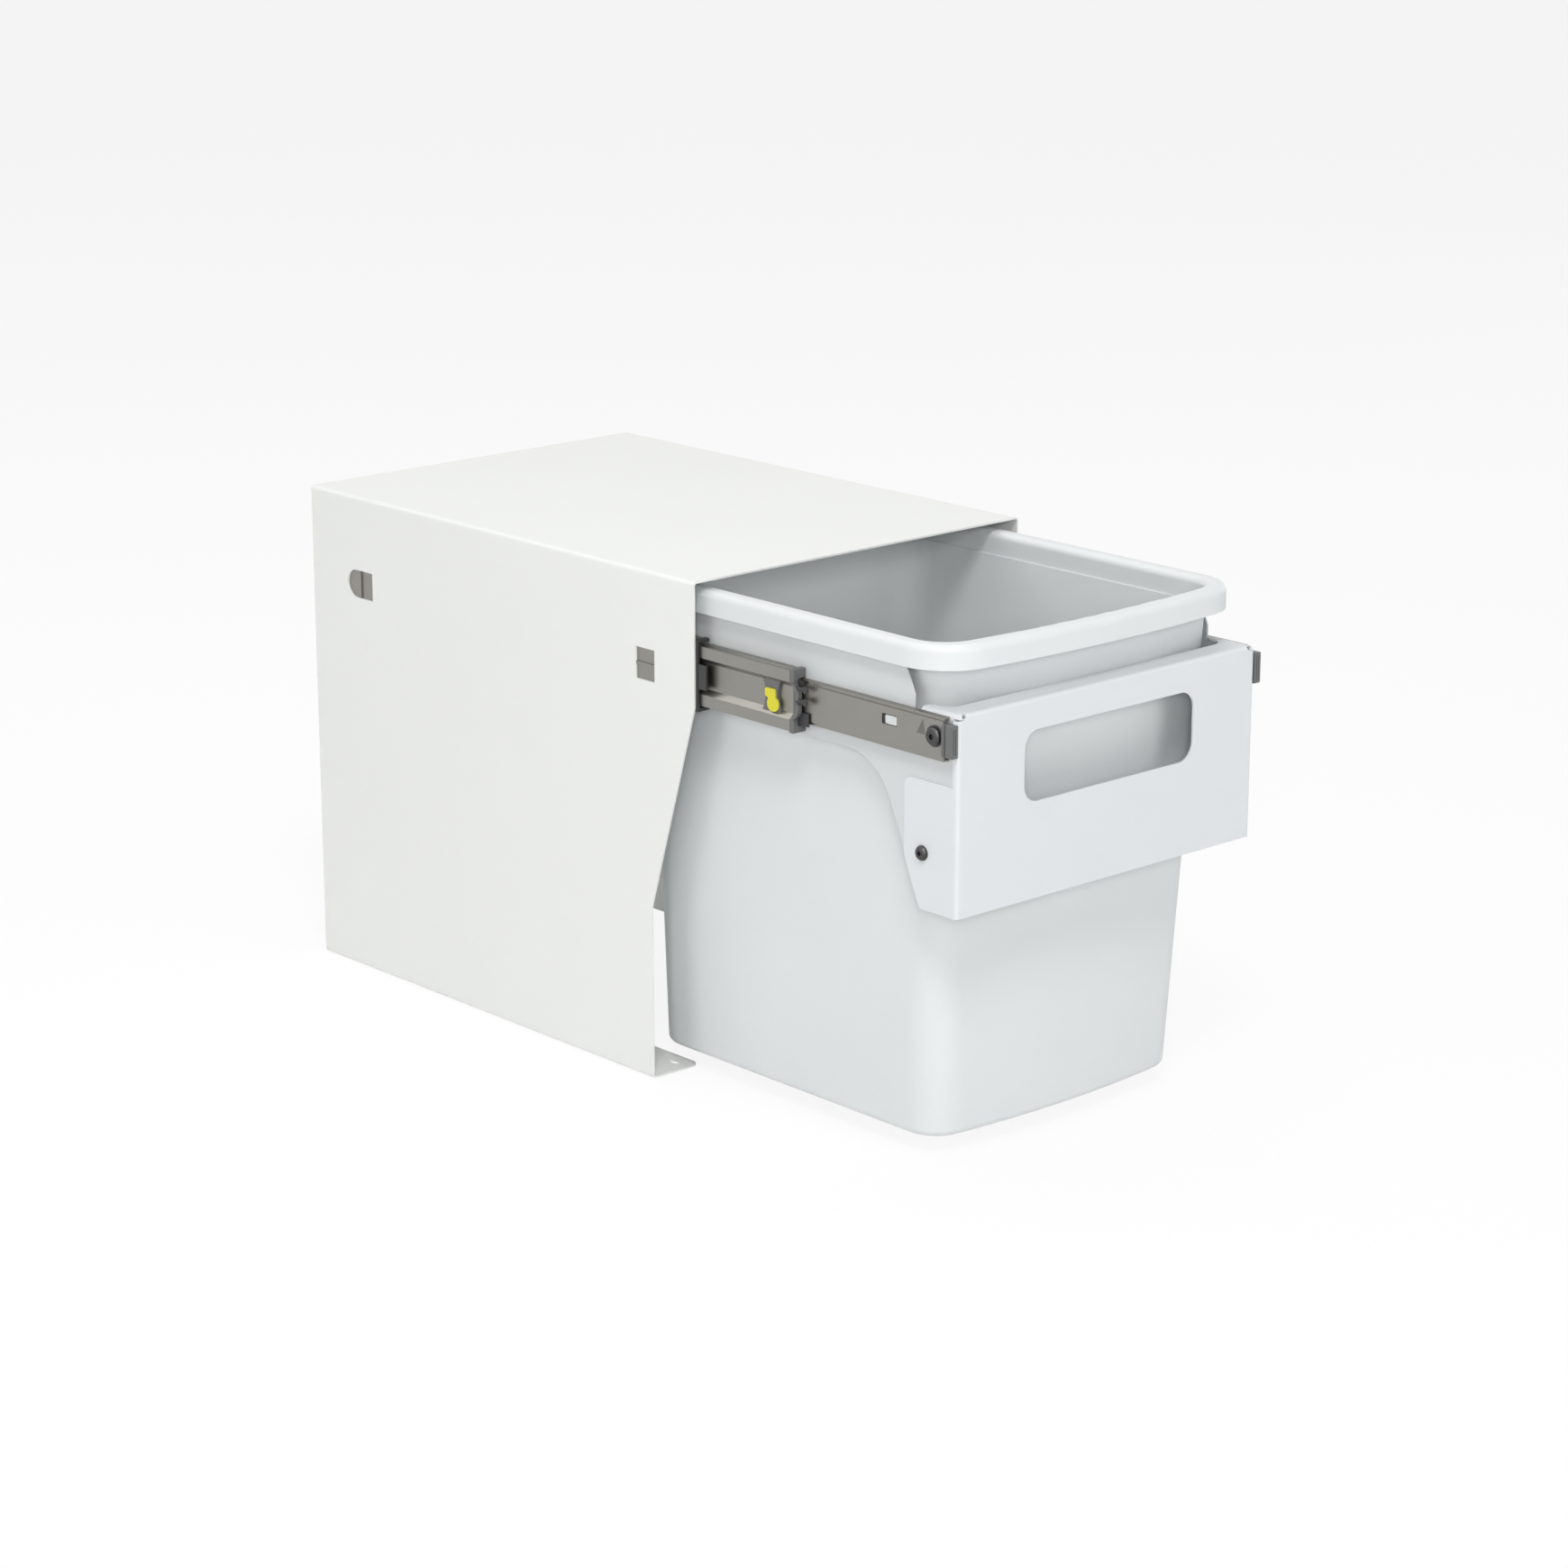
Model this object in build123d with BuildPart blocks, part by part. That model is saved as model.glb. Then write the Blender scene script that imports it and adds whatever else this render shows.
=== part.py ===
from build123d import *
import os
from math import cos, radians, sin, tan

# A pull-out waste cabinet.  A folded steel housing stands on the cupboard floor.
# A pair of three-member ball slides hangs inside it and carries a frame of two
# side arms, a front plate and a rear rail, and a moulded bin hangs in the frame
# by its rim.  The drawer stands part way out, as in its everyday use.
#
# X runs across, the drawer opens towards -Y, Z is up.  The origin lies on the
# floor, under the middle of the whole.  All sizes are in millimetres.

# ---- housing: one sheet folded into a top, two sides and two foot flanges ----
housing_width = 288.0
housing_depth = 404.0
housing_sheet = 1.2
housing_fold = 2.8  # outside radius of a fold
side_setback = 43.0  # how far the lower front edge stands behind the upper one
slant_drop = 21.0  # the side's front edge slopes back from here, below the slide's middle
slant_fall = 140.8  # height of the sloping stretch
foot_width = 40.0
rear_foot_width = 49.0
rear_foot_length = 170.0
foot_corner = 6.0
foot_slot_length = 8.0
foot_slot_width = 4.6
foot_slot_inset = 29.7  # from the outer face of the side
front_slot_setback = 13.4  # from the front edge of the foot
rear_slot_setback = 24.0  # from the rear edge of the foot
window_length = 18.2
window_height = 21.0
front_window_setback = 38.3
rear_window_setback = 54.0  # from the housing's rear edge to the middle of the window
rear_window_length = 28.0
window_rise = -1.1  # middle of the windows against the middle of the slide

# ---- how far the drawer stands out ----
drawer_reach = 222.8  # front plate's face before the housing
drawer_travel = 218.0  # already travelled from the closed place

# ---- slides ----
slide_height = 279.6  # middle of the slide above the floor
slide_thickness = 12.7
outer_length = 398.0
outer_setback = 2.0  # outer member's end behind the housing's front edge
outer_height = 45.6
outer_depth = 10.0
middle_length = 370.0
middle_closed_setback = 24.0  # middle member's front end when the drawer is closed
middle_height = 38.4
middle_depth = 12.0
inner_length = 388.0
inner_height = 27.0
slide_steel = 1.2
lip_gap = 2.2  # from the housing's side to the middle member's lips
recess_depth = 3.3  # from the lips to the middle member's web
recess_half = 8.5  # half height of the flat floor of that recess
inner_web_gap = 0.5  # between the webs of the middle and the inner member
inner_step = 2.0  # height of the shoulder along each edge of the inner member
inner_step_depth = 1.0
hook_steel = 1.6
hook_stand_in = 0.2  # hook's end below the housing's outer face
web_window_length = 13.0
web_window_height = 6.4
web_window_rise = 3.65
web_window_setback = 47.8  # from the front plate's face to the near end of the window

# ---- balls and cages ----
outer_ball = 3.0
inner_ball = 5.0
outer_ball_depth = 6.0  # ball's centre from the housing's side
inner_ball_depth = 9.6
race_clearance = 0.1
ball_pocket_clearance = 0.05
cage_length = 140.0
cage_steel = 0.8
cage_balls = 3
cage_web_gap = 0.2
cage_web = 0.6
inner_cage_gap = 4.4  # from the housing's side to the inner cage's strips
inner_cage_width = 8.1
cage_margin = 12.0  # from the cage's end to the middle of its first ball

# ---- plastic ends of the slides ----
outer_cap_length = 4.0
outer_cap_wall = 1.8
outer_cap_tongue_length = 7.6  # before the rest of the cap
outer_cap_tongue_height = 16.0
outer_cap_tongue_gap = 0.3  # from the plane of the housing's side
middle_cap_length = 4.0
middle_cap_overhang = 1.0
cap_clearance = 0.4
claw_width = 1.5  # curved springs in the mouth of the middle member's cap
claw_reach = 3.4  # before the cap
claw_gap = 2.5  # between the two claws
end_stop_length = 8.6
end_stop_height = 20.0
end_stop_proud = 1.5  # outboard of the inner member's web
end_stop_ribs = 3
end_stop_groove = 1.4
end_stop_groove_depth = 0.8
end_stop_groove_setback = 5.6
end_stop_clearance = 0.3  # round the edge of the front plate
rear_bumper_length = 5.0

# ---- latch ----
bracket_length = 16.4
bracket_waist = 11.0
bracket_floor = 1.9
bracket_clearance = 0.1
lever_gap = 2.5  # from the housing's side to the lever
lever_setback = 18.0
lever_thickness = 1.0
lever_top_length = 9.4
lever_top_height = 5.8
lever_top_corner = 1.6
lever_lobe_length = 10.3
lever_lobe_height = 9.2
lever_lobe_corner = 4.4
lever_waist = 6.6
lever_lobe_drop = 6.8  # lower lobe's middle below the pivot
lever_lobe_shift = 2.3  # and before it
lever_rise = 1.6  # pivot above the middle of the slide
lever_skin = 0.35  # left over the blind end of the pivot's bore
pivot_radius = 1.2
pivot_clearance = 0.05

# ---- front plate ----
plate_rise = 15.5  # top above the middle of the slide
plate_height = 126.0
plate_sheet = 1.2
plate_fold = 2.6
plate_corner = 3.4
plate_return = 4.6  # how far the side's fold reaches back above the side flange
flange_depth = 33.0
flange_corner = 3.0
flange_end_fold = 3.6  # outside radius of the top flange's turned-down ends
flange_end_gap = 0.1  # from the plane of the arms' outer faces
relief_radius = 1.7
relief_inset = 5.1  # from the side of the plate
relief_drop = 1.1
slit_width = 0.5
side_flange_depth = 45.3
side_flange_drop = 45.1  # upper edge below the top of the plate
side_flange_slant_rise = 30.9  # end of the slant above the bottom of the plate
side_flange_slant_depth = 31.8
side_flange_corner = 6.0
handle_width = 150.0
handle_height = 45.1
handle_drop = 42.15  # middle below the top of the plate
handle_corner = 11.5

# ---- arms and rear rail ----
arm_sheet = 1.2
arm_drop = 22.6  # lower edge below the middle of the slide
arm_front_gap = 1.5  # behind the front plate
arm_shoulder_gap = 0.3  # under the plate's top flange with its turned-down ends
arm_shoulder_setback = 38.6
arm_corner = 3.0
arm_kink_drop = 29.7  # below the top of the arm
arm_slant_rate = 0.46  # run of the slanted front edge for each unit of rise
arm_rear_drop = 5.6  # rear end of the arm below the bin's rim
arm_rear_run = 7.5  # how far the arm reaches past the rear of the rim
arm_hang_end = 27.0  # rear end of the part inside the rim, before the rim's rear
gusset_rise = 3.9  # above the bottom of the plate
gusset_radius = 42.0
gusset_start = 97.6  # from the plate's face to where the lower edge turns down
gusset_angle = 65.7
lug_length = 9.6  # locating lug in the inner member's window
lug_height = 5.4
lug_clearance = 0.4
rail_sheet = 1.2
rail_height = 50.0
rail_flange = 13.0
rail_gap = 4.0  # behind the bin's neck
rail_tab_width = 200.0
rail_rivet_gap = 0.95  # from its head to the path of the middle member's cap

# ---- bin ----
bin_rise = 53.6  # top of the rim above the middle of the slide
bin_top_gap = 6.8  # top of the rim below the housing's top
bin_length = 311.2
bin_bottom = 11.0
bin_front_gap = 8.2  # from the front plate's face to the ends of the rim's bowed front
bin_bow = 5.0  # how far the front bulges in the middle
bin_wall = 2.2
bin_floor = 2.6
ledge_step = 1.0  # how much wider the mouth is than the body below
rim_height = 15.3
rim_corner = 36.0
rim_edge = 4.6
rim_arm_gap = 2.1  # between the rim's skirt and the arms
rim_side_overhang = 12.0
rim_front_overhang = 13.6
rim_rear_overhang = 14.9
neck_corner = 24.0
bin_foot_corner = 24.0
side_draft = 2.15
front_draft = 2.87
rear_draft = 0.2
bin_foot_edge = 4.5
cutout_corner = 10.0
seat_gap = 0.3
neck_clearance = 0.6

# ---- fasteners ----
plate_screw_hole = 5.4
plate_screw_shank = 5.0
plate_screw_head = 9.5
plate_screw_head_height = 2.75
plate_screw_setback = 29.5
plate_screw_rise = 35.6  # above the bottom of the plate
slide_screw_hole = 6.4
slide_screw_shank = 6.0
slide_screw_head = 11.4
slide_screw_flange = 13.2
slide_screw_head_height = 3.3
slide_screw_setback = 15.4
slide_screw_rise = 1.4
bush_radius = 6.0
slide_nut_radius = 5.7
slide_nut_height = 4.0
plate_nut_radius = 4.6
plate_nut_height = 3.6
rivet_shank = 4.0
rivet_head = 7.5
rivet_head_height = 1.4
rivet_clearance = 0.05
socket_share = 0.33  # hexagon's radius as a share of the head's diameter
socket_depth = 1.6
screw_flange_height = 0.8
screw_overrun = 0.7  # shank beyond the nut
nut_clearance = 0.05

# ---- places that follow from the sizes ----
bin_top = slide_height + bin_rise
housing_height = bin_top + bin_top_gap
slant_top = slide_height - slant_drop
slant_bottom = slant_top - slant_fall
plate_top = slide_height + plate_rise
plate_bottom = plate_top - plate_height
plate_screw_height = plate_bottom + plate_screw_rise
side_flange_top = plate_top - side_flange_drop
handle_middle = plate_top - handle_drop
arm_bottom = slide_height - arm_drop
housing_front = (drawer_reach - housing_depth) / 2
housing_rear = housing_front + housing_depth
plate_face = housing_front - drawer_reach
inside = housing_width / 2 - housing_sheet
arm_face = inside - slide_thickness
plate_half = arm_face + plate_sheet
middle_front = housing_front + middle_closed_setback - drawer_travel / 2
outer_front = housing_front + outer_setback
outer_rear = outer_front + outer_length
inner_front = plate_face + end_stop_length
slide_middle = housing_front + middle_closed_setback + middle_length / 2
outer_cage_middle = slide_middle - drawer_travel / 4
inner_cage_middle = slide_middle - 3 * drawer_travel / 4
web_gap = lip_gap + recess_depth  # housing's side to the middle member's web
inner_gap = web_gap + slide_steel + inner_web_gap
outer_race = (outer_height / 2 - slide_steel + middle_height / 2) / 2
inner_race = (middle_height / 2 - slide_steel + inner_height / 2) / 2
bin_width = 2 * (arm_face + rim_arm_gap + bin_wall)
rim_bottom = bin_top - rim_height
rim_front = plate_face + bin_front_gap
rim_rear = rim_front + bin_length
neck_half = bin_width / 2 - rim_side_overhang
neck_front = rim_front + rim_front_overhang
neck_rear = rim_rear - rim_rear_overhang
hang_top = bin_top - bin_wall - seat_gap


def across(y):
    """A plane facing the front, at y, whose local x and y are X and Z."""
    return Plane.XZ.offset(-y)


def outboard(x):
    """A plane facing left, at -x, whose local x and y are -Y and Z."""
    return Plane(origin=(-x, 0, 0), x_dir=(0, -1, 0), z_dir=(-1, 0, 0))


def save(name, piece):
    """Label one piece and write it as its own node."""
    piece.label = name
    export_step(piece, f"parts/{name}.step")


def save_pair(name, left):
    """Write a left-hand piece and its mirror image."""
    save(f"{name}_left", left)
    save(f"{name}_right", mirror(left, about=Plane.YZ))


def slide_x(gap):
    """X of a face that stands gap inboard of the left side's inner face."""
    return gap - inside


def slide_face(gap):
    """A plane facing left, gap inboard of the left side's inner face."""
    return outboard(inside - gap)


os.makedirs("parts", exist_ok=True)

# ================= housing =================
foot_front = housing_front + side_setback
slot_x = housing_width / 2 - foot_slot_inset
slot_front = foot_front + front_slot_setback
slot_rear = housing_rear - rear_slot_setback
window_z = slide_height + window_rise
rear_window_y = housing_rear - rear_window_setback

with BuildPart() as housing_shell:
    with BuildSketch(across(housing_rear)):
        with Locations((0, housing_height / 2)):
            RectangleRounded(housing_width, housing_height, housing_fold)
            RectangleRounded(
                housing_width - 2 * housing_sheet,
                housing_height - 2 * housing_sheet,
                housing_fold - housing_sheet,
                mode=Mode.SUBTRACT,
            )
        Rectangle(
            housing_width - 2 * rear_foot_width,
            2 * housing_fold,
            mode=Mode.SUBTRACT,
        )
    extrude(amount=housing_depth)
    # The front of each side slopes back to the feet.
    with BuildSketch(outboard(-housing_width / 2 - 1)):
        with BuildLine():
            Polyline(
                (-housing_front + 1, slant_top),
                (-housing_front, slant_top),
                (-foot_front, slant_bottom),
                (-foot_front, -1),
                (-housing_front + 1, -1),
                close=True,
            )
        make_face()
    extrude(amount=housing_width + 2, mode=Mode.SUBTRACT)
    # The feet are narrower towards the front.
    narrow_length = housing_depth - side_setback - rear_foot_length
    with BuildSketch():
        with Locations((0, foot_front + narrow_length / 2)):
            Rectangle(housing_width - 2 * foot_width, narrow_length)
    extrude(amount=housing_sheet, mode=Mode.SUBTRACT)
    foot_edges = housing_shell.edges().filter_by(Axis.Z).filter_by(
        lambda e: e.center().Z < housing_sheet
        and abs(e.center().X) < housing_width / 2 - housing_fold
    )
    step_corner = 0.45 * (rear_foot_width - foot_width)
    fillet(foot_edges.filter_by(lambda e: e.center().Y < foot_front + 1), foot_corner)
    fillet(
        foot_edges.filter_by(
            lambda e: foot_front + 1 < e.center().Y < housing_rear - 1
        ),
        step_corner,
    )
    # Slots for the floor screws.
    with BuildSketch():
        with Locations(
            (-slot_x, slot_front),
            (slot_x, slot_front),
            (-slot_x, slot_rear),
            (slot_x, slot_rear),
        ):
            SlotOverall(foot_slot_length, foot_slot_width, rotation=90)
    extrude(amount=housing_sheet, mode=Mode.SUBTRACT)
    # Windows for the slides' hooks: an oblong one in front, a D-shaped one behind.
    with BuildSketch(outboard(-housing_width / 2 - 1)):
        with Locations((-housing_front - front_window_setback - window_length / 2, window_z)):
            Rectangle(window_length, window_height)
        with Locations((-rear_window_y, window_z)):
            SlotOverall(rear_window_length, window_height - 1.5)
        with Locations((-rear_window_y + rear_window_length / 4, window_z)):
            Rectangle(rear_window_length / 2, window_height - 1.5)
    extrude(amount=housing_width + 2, mode=Mode.SUBTRACT)

save("housing_shell", housing_shell.part)

# ================= outer members =================
hook_reach = housing_sheet - hook_stand_in
with BuildPart() as outer_member:
    with BuildSketch(across(outer_rear)):
        with Locations((slide_x(outer_depth / 2), slide_height)):
            Rectangle(outer_depth, outer_height)
        with Locations((slide_x(slide_steel + outer_depth / 2), slide_height)):
            Rectangle(outer_depth, outer_height - 2 * slide_steel, mode=Mode.SUBTRACT)
        with Locations(
            (slide_x(outer_ball_depth), slide_height + outer_race),
            (slide_x(outer_ball_depth), slide_height - outer_race),
        ):
            Circle(outer_ball / 2 + race_clearance, mode=Mode.SUBTRACT)
    extrude(amount=outer_length)
    fillet(
        outer_member.edges().filter_by(Axis.Y).group_by(Axis.X)[0],
        slide_steel,
    )
    # A flat tongue in the front window and an upright one in the rear window.
    with BuildSketch(outboard(inside - slide_steel)):
        with Locations((-housing_front - front_window_setback - window_length / 2, window_z)):
            Rectangle(window_length - 2 * hook_stand_in, hook_steel)
        with Locations((-rear_window_y, window_z)):
            Rectangle(hook_steel, window_height - 1.5 - 2 * hook_stand_in)
    extrude(amount=slide_steel + hook_reach)

save_pair("outer_member", outer_member.part)

# Plastic mouth on the front end of the outer member, with a tongue over the recess
# of the middle member.
with BuildPart() as outer_end_cap:
    with BuildSketch(across(outer_front)):
        with Locations((slide_x(outer_depth / 2), slide_height)):
            Rectangle(outer_depth, outer_height + 1)
        with Locations((slide_x(outer_cap_wall + outer_depth / 2), slide_height)):
            Rectangle(
                outer_depth,
                middle_height + 2 * middle_cap_overhang + 2 * cap_clearance,
                mode=Mode.SUBTRACT,
            )
    extrude(amount=outer_cap_length)
    fillet(outer_end_cap.edges().filter_by(Axis.X).group_by(Axis.Y)[0], 0.8)
    with BuildSketch(across(outer_front - outer_cap_length)):
        with Locations((slide_x((outer_cap_tongue_gap + outer_cap_wall) / 2), slide_height)):
            Rectangle(outer_cap_wall - outer_cap_tongue_gap, outer_cap_tongue_height)
    extrude(amount=outer_cap_tongue_length)
    fillet(outer_end_cap.edges().filter_by(Axis.X).group_by(Axis.Y)[0], 0.5)

save_pair("outer_end_cap", outer_end_cap.part)

# Plastic block that stops the middle member at the closed end.
bumper_depth = outer_depth - slide_steel - 1
with BuildPart() as rear_bumper:
    with BuildSketch(across(outer_rear)):
        with Locations((slide_x(slide_steel + bumper_depth / 2), slide_height)):
            Rectangle(bumper_depth, middle_height)
            Rectangle(bumper_depth / 2, inner_height / 2, mode=Mode.SUBTRACT)
    extrude(amount=rear_bumper_length)
    fillet(rear_bumper.edges().filter_by(Axis.X).group_by(Axis.Y)[0], 0.8)

save_pair("rear_bumper", rear_bumper.part)

# ================= middle members =================
lip_half = recess_half + recess_depth
half_middle = middle_height / 2
lip_x = slide_x(lip_gap)
web_x = slide_x(web_gap)
depth_x = slide_x(middle_depth)
bevel_shift = slide_steel * tan(radians(22.5))
with BuildPart() as middle_member:
    with BuildSketch(across(middle_front + middle_length)):
        # One half of the section, from the web over the bevel and lip to the flange.
        with BuildLine():
            Polyline(
                (web_x, slide_height),
                (web_x, slide_height + recess_half),
                (lip_x, slide_height + lip_half),
                (lip_x, slide_height + half_middle),
                (depth_x, slide_height + half_middle),
                (depth_x, slide_height + half_middle - slide_steel),
                (lip_x + slide_steel, slide_height + half_middle - slide_steel),
                (lip_x + slide_steel, slide_height + lip_half + bevel_shift),
                (web_x + slide_steel, slide_height + recess_half + bevel_shift),
                (web_x + slide_steel, slide_height),
                close=True,
            )
        make_face()
        mirror(about=Plane.XZ.offset(-slide_height))
        with Locations(
            (slide_x(outer_ball_depth), slide_height + outer_race),
            (slide_x(outer_ball_depth), slide_height - outer_race),
        ):
            Circle(outer_ball / 2 + race_clearance, mode=Mode.SUBTRACT)
        with Locations(
            (slide_x(inner_ball_depth), slide_height + inner_race),
            (slide_x(inner_ball_depth), slide_height - inner_race),
        ):
            Circle(inner_ball / 2 + race_clearance, mode=Mode.SUBTRACT)
    extrude(amount=middle_length)

save_pair("middle_member", middle_member.part)

# Plastic cap on the front end of the middle member, notched like its section.
cap_half_height = half_middle + middle_cap_overhang
window_gap = inner_gap - cap_clearance / 2
window_half = inner_height / 2 + cap_clearance
with BuildPart() as middle_end_cap:
    with BuildSketch(across(middle_front)):
        with Locations((slide_x((lip_gap + middle_depth) / 2), slide_height)):
            Rectangle(middle_depth - lip_gap, 2 * cap_half_height)
        with Locations((slide_x(window_gap + middle_depth / 2), slide_height)):
            Rectangle(middle_depth, 2 * window_half, mode=Mode.SUBTRACT)
        with BuildLine():
            Polyline(
                (lip_x - 1, slide_height - lip_half),
                (lip_x, slide_height - lip_half),
                (web_x, slide_height - recess_half),
                (web_x, slide_height + recess_half),
                (lip_x, slide_height + lip_half),
                (lip_x - 1, slide_height + lip_half),
                close=True,
            )
        make_face(mode=Mode.SUBTRACT)
    extrude(amount=middle_cap_length)
    fillet(middle_end_cap.edges().filter_by(Axis.X).group_by(Axis.Y)[0], 0.6)
    # Two claws curve out of the recess and meet before the cap.
    claw_root = -(middle_front - middle_cap_length / 2)
    claw_tip = claw_root + middle_cap_length / 2 + claw_reach
    with BuildSketch(slide_face(web_gap)):
        with BuildLine():
            Line((claw_root, slide_height + lip_half), (claw_root, slide_height + lip_half - claw_width))
            ThreePointArc(
                (claw_root, slide_height + lip_half - claw_width),
                (claw_tip - 2 * claw_width, slide_height + 0.6 * lip_half),
                (claw_tip - claw_width, slide_height + claw_gap / 2),
            )
            Line(
                (claw_tip - claw_width, slide_height + claw_gap / 2),
                (claw_tip, slide_height + claw_gap / 2),
            )
            ThreePointArc(
                (claw_tip, slide_height + claw_gap / 2),
                (claw_tip - claw_width / 2, slide_height + 0.7 * lip_half),
                (claw_root, slide_height + lip_half),
            )
        make_face()
        mirror(about=Plane.XZ.offset(-slide_height))
    extrude(amount=web_gap - lip_gap)

save_pair("middle_end_cap", middle_end_cap.part)

# ================= latch =================
lever_y = middle_front + lever_setback
pivot_z = slide_height + lever_rise
bracket_middle = -lever_y
bracket_front = bracket_middle + bracket_length / 2
bracket_rear = bracket_middle - bracket_length / 2
bracket_floor_half = recess_half - bracket_clearance
bracket_half = bracket_floor_half + bracket_floor
with BuildPart() as latch_bracket:
    with BuildSketch(slide_face(web_gap)):
        with BuildLine():
            Line((bracket_front, slide_height + bracket_half), (bracket_rear, slide_height + bracket_half))
            ThreePointArc(
                (bracket_rear, slide_height + bracket_half),
                (bracket_middle - bracket_waist / 2, slide_height),
                (bracket_rear, slide_height - bracket_half),
            )
            Line((bracket_rear, slide_height - bracket_half), (bracket_front, slide_height - bracket_half))
            ThreePointArc(
                (bracket_front, slide_height - bracket_half),
                (bracket_middle + bracket_waist / 2, slide_height),
                (bracket_front, slide_height + bracket_half),
            )
        make_face()
        with Locations((bracket_middle, pivot_z)):
            Circle(pivot_radius + pivot_clearance, mode=Mode.SUBTRACT)
    extrude(amount=bracket_floor)
    # Its upper and lower sides slope like those of the recess.
    with BuildSketch(across(middle_front + middle_length)):
        with BuildLine():
            Polyline(
                (web_x, slide_height - bracket_floor_half),
                (web_x - bracket_floor, slide_height - bracket_half),
                (web_x - bracket_floor, slide_height + bracket_half),
                (web_x, slide_height + bracket_floor_half),
                close=True,
            )
        make_face()
    extrude(amount=middle_length, mode=Mode.INTERSECT)

save_pair("latch_bracket", latch_bracket.part)

with BuildPart() as lever_pin:
    with BuildSketch(slide_face(web_gap)):
        with Locations((bracket_middle, pivot_z)):
            Circle(pivot_radius)
    extrude(amount=web_gap - lever_gap - lever_skin - pivot_clearance)

save_pair("lever_pin", lever_pin.part)

# The lever turns on the pin in a blind bore; its lower lobe stands forward.
lobe_z = pivot_z - lever_lobe_drop
lobe_middle = bracket_middle + lever_lobe_shift
with BuildPart() as release_lever:
    with BuildSketch(slide_face(lever_gap + lever_thickness)):
        with Locations((bracket_middle, pivot_z)):
            RectangleRounded(lever_top_length, lever_top_height, lever_top_corner)
        with Locations(((bracket_middle + lobe_middle) / 2, (pivot_z + lobe_z) / 2)):
            Rectangle(lever_waist, pivot_z - lobe_z)
        with Locations((lobe_middle, lobe_z)):
            RectangleRounded(lever_lobe_length, lever_lobe_height, lever_lobe_corner)
    extrude(amount=lever_thickness)
    with BuildSketch(slide_face(lever_gap + lever_thickness)):
        with Locations((bracket_middle, pivot_z)):
            Circle(pivot_radius + pivot_clearance)
    extrude(amount=lever_thickness - lever_skin, mode=Mode.SUBTRACT)

save_pair("release_lever", release_lever.part)

# ================= balls and cages =================
ball_pitch = (cage_length - 2 * cage_margin) / (cage_balls - 1)
cut_height = 2 * outer_height

with BuildPart() as outer_ball_cage:
    with BuildSketch(across(outer_cage_middle + cage_length / 2)):
        with Locations((slide_x(slide_steel + cage_web_gap + cage_web / 2), slide_height)):
            Rectangle(cage_web, 2 * outer_race + cage_steel)
        arm_reach = outer_ball_depth + outer_ball / 2 + 0.5 - slide_steel - cage_web_gap
        with Locations(
            (slide_x(slide_steel + cage_web_gap + arm_reach / 2), slide_height + outer_race),
            (slide_x(slide_steel + cage_web_gap + arm_reach / 2), slide_height - outer_race),
        ):
            Rectangle(arm_reach, cage_steel)
    extrude(amount=cage_length)
    with BuildSketch(Plane.XY.offset(slide_height - cut_height / 2)):
        with Locations((slide_x(outer_ball_depth), outer_cage_middle)):
            with GridLocations(0, ball_pitch, 1, cage_balls):
                Circle(outer_ball / 2 + ball_pocket_clearance)
    extrude(amount=cut_height, mode=Mode.SUBTRACT)

save_pair("outer_ball_cage", outer_ball_cage.part)

with BuildPart() as outer_balls:
    with Locations(
        (slide_x(outer_ball_depth), outer_cage_middle, slide_height + outer_race),
        (slide_x(outer_ball_depth), outer_cage_middle, slide_height - outer_race),
    ):
        with GridLocations(0, ball_pitch, 1, cage_balls):
            Sphere(outer_ball / 2)

save_pair("outer_balls", outer_balls.part)

with BuildPart() as inner_ball_cage:
    with BuildSketch(across(inner_cage_middle + cage_length / 2)):
        with Locations(
            (slide_x(inner_cage_gap + inner_cage_width / 2), slide_height + inner_race),
            (slide_x(inner_cage_gap + inner_cage_width / 2), slide_height - inner_race),
        ):
            Rectangle(inner_cage_width, cage_steel)
    extrude(amount=cage_length)
    with BuildSketch(Plane.XY.offset(slide_height - cut_height / 2)):
        with Locations((slide_x(inner_ball_depth), inner_cage_middle)):
            with GridLocations(0, ball_pitch, 1, cage_balls):
                Circle(inner_ball / 2 + ball_pocket_clearance)
    extrude(amount=cut_height, mode=Mode.SUBTRACT)

save_pair("inner_ball_cage", inner_ball_cage.part)

with BuildPart() as inner_balls:
    with Locations(
        (slide_x(inner_ball_depth), inner_cage_middle, slide_height + inner_race),
        (slide_x(inner_ball_depth), inner_cage_middle, slide_height - inner_race),
    ):
        with GridLocations(0, ball_pitch, 1, cage_balls):
            Sphere(inner_ball / 2)

save_pair("inner_balls", inner_balls.part)

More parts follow.
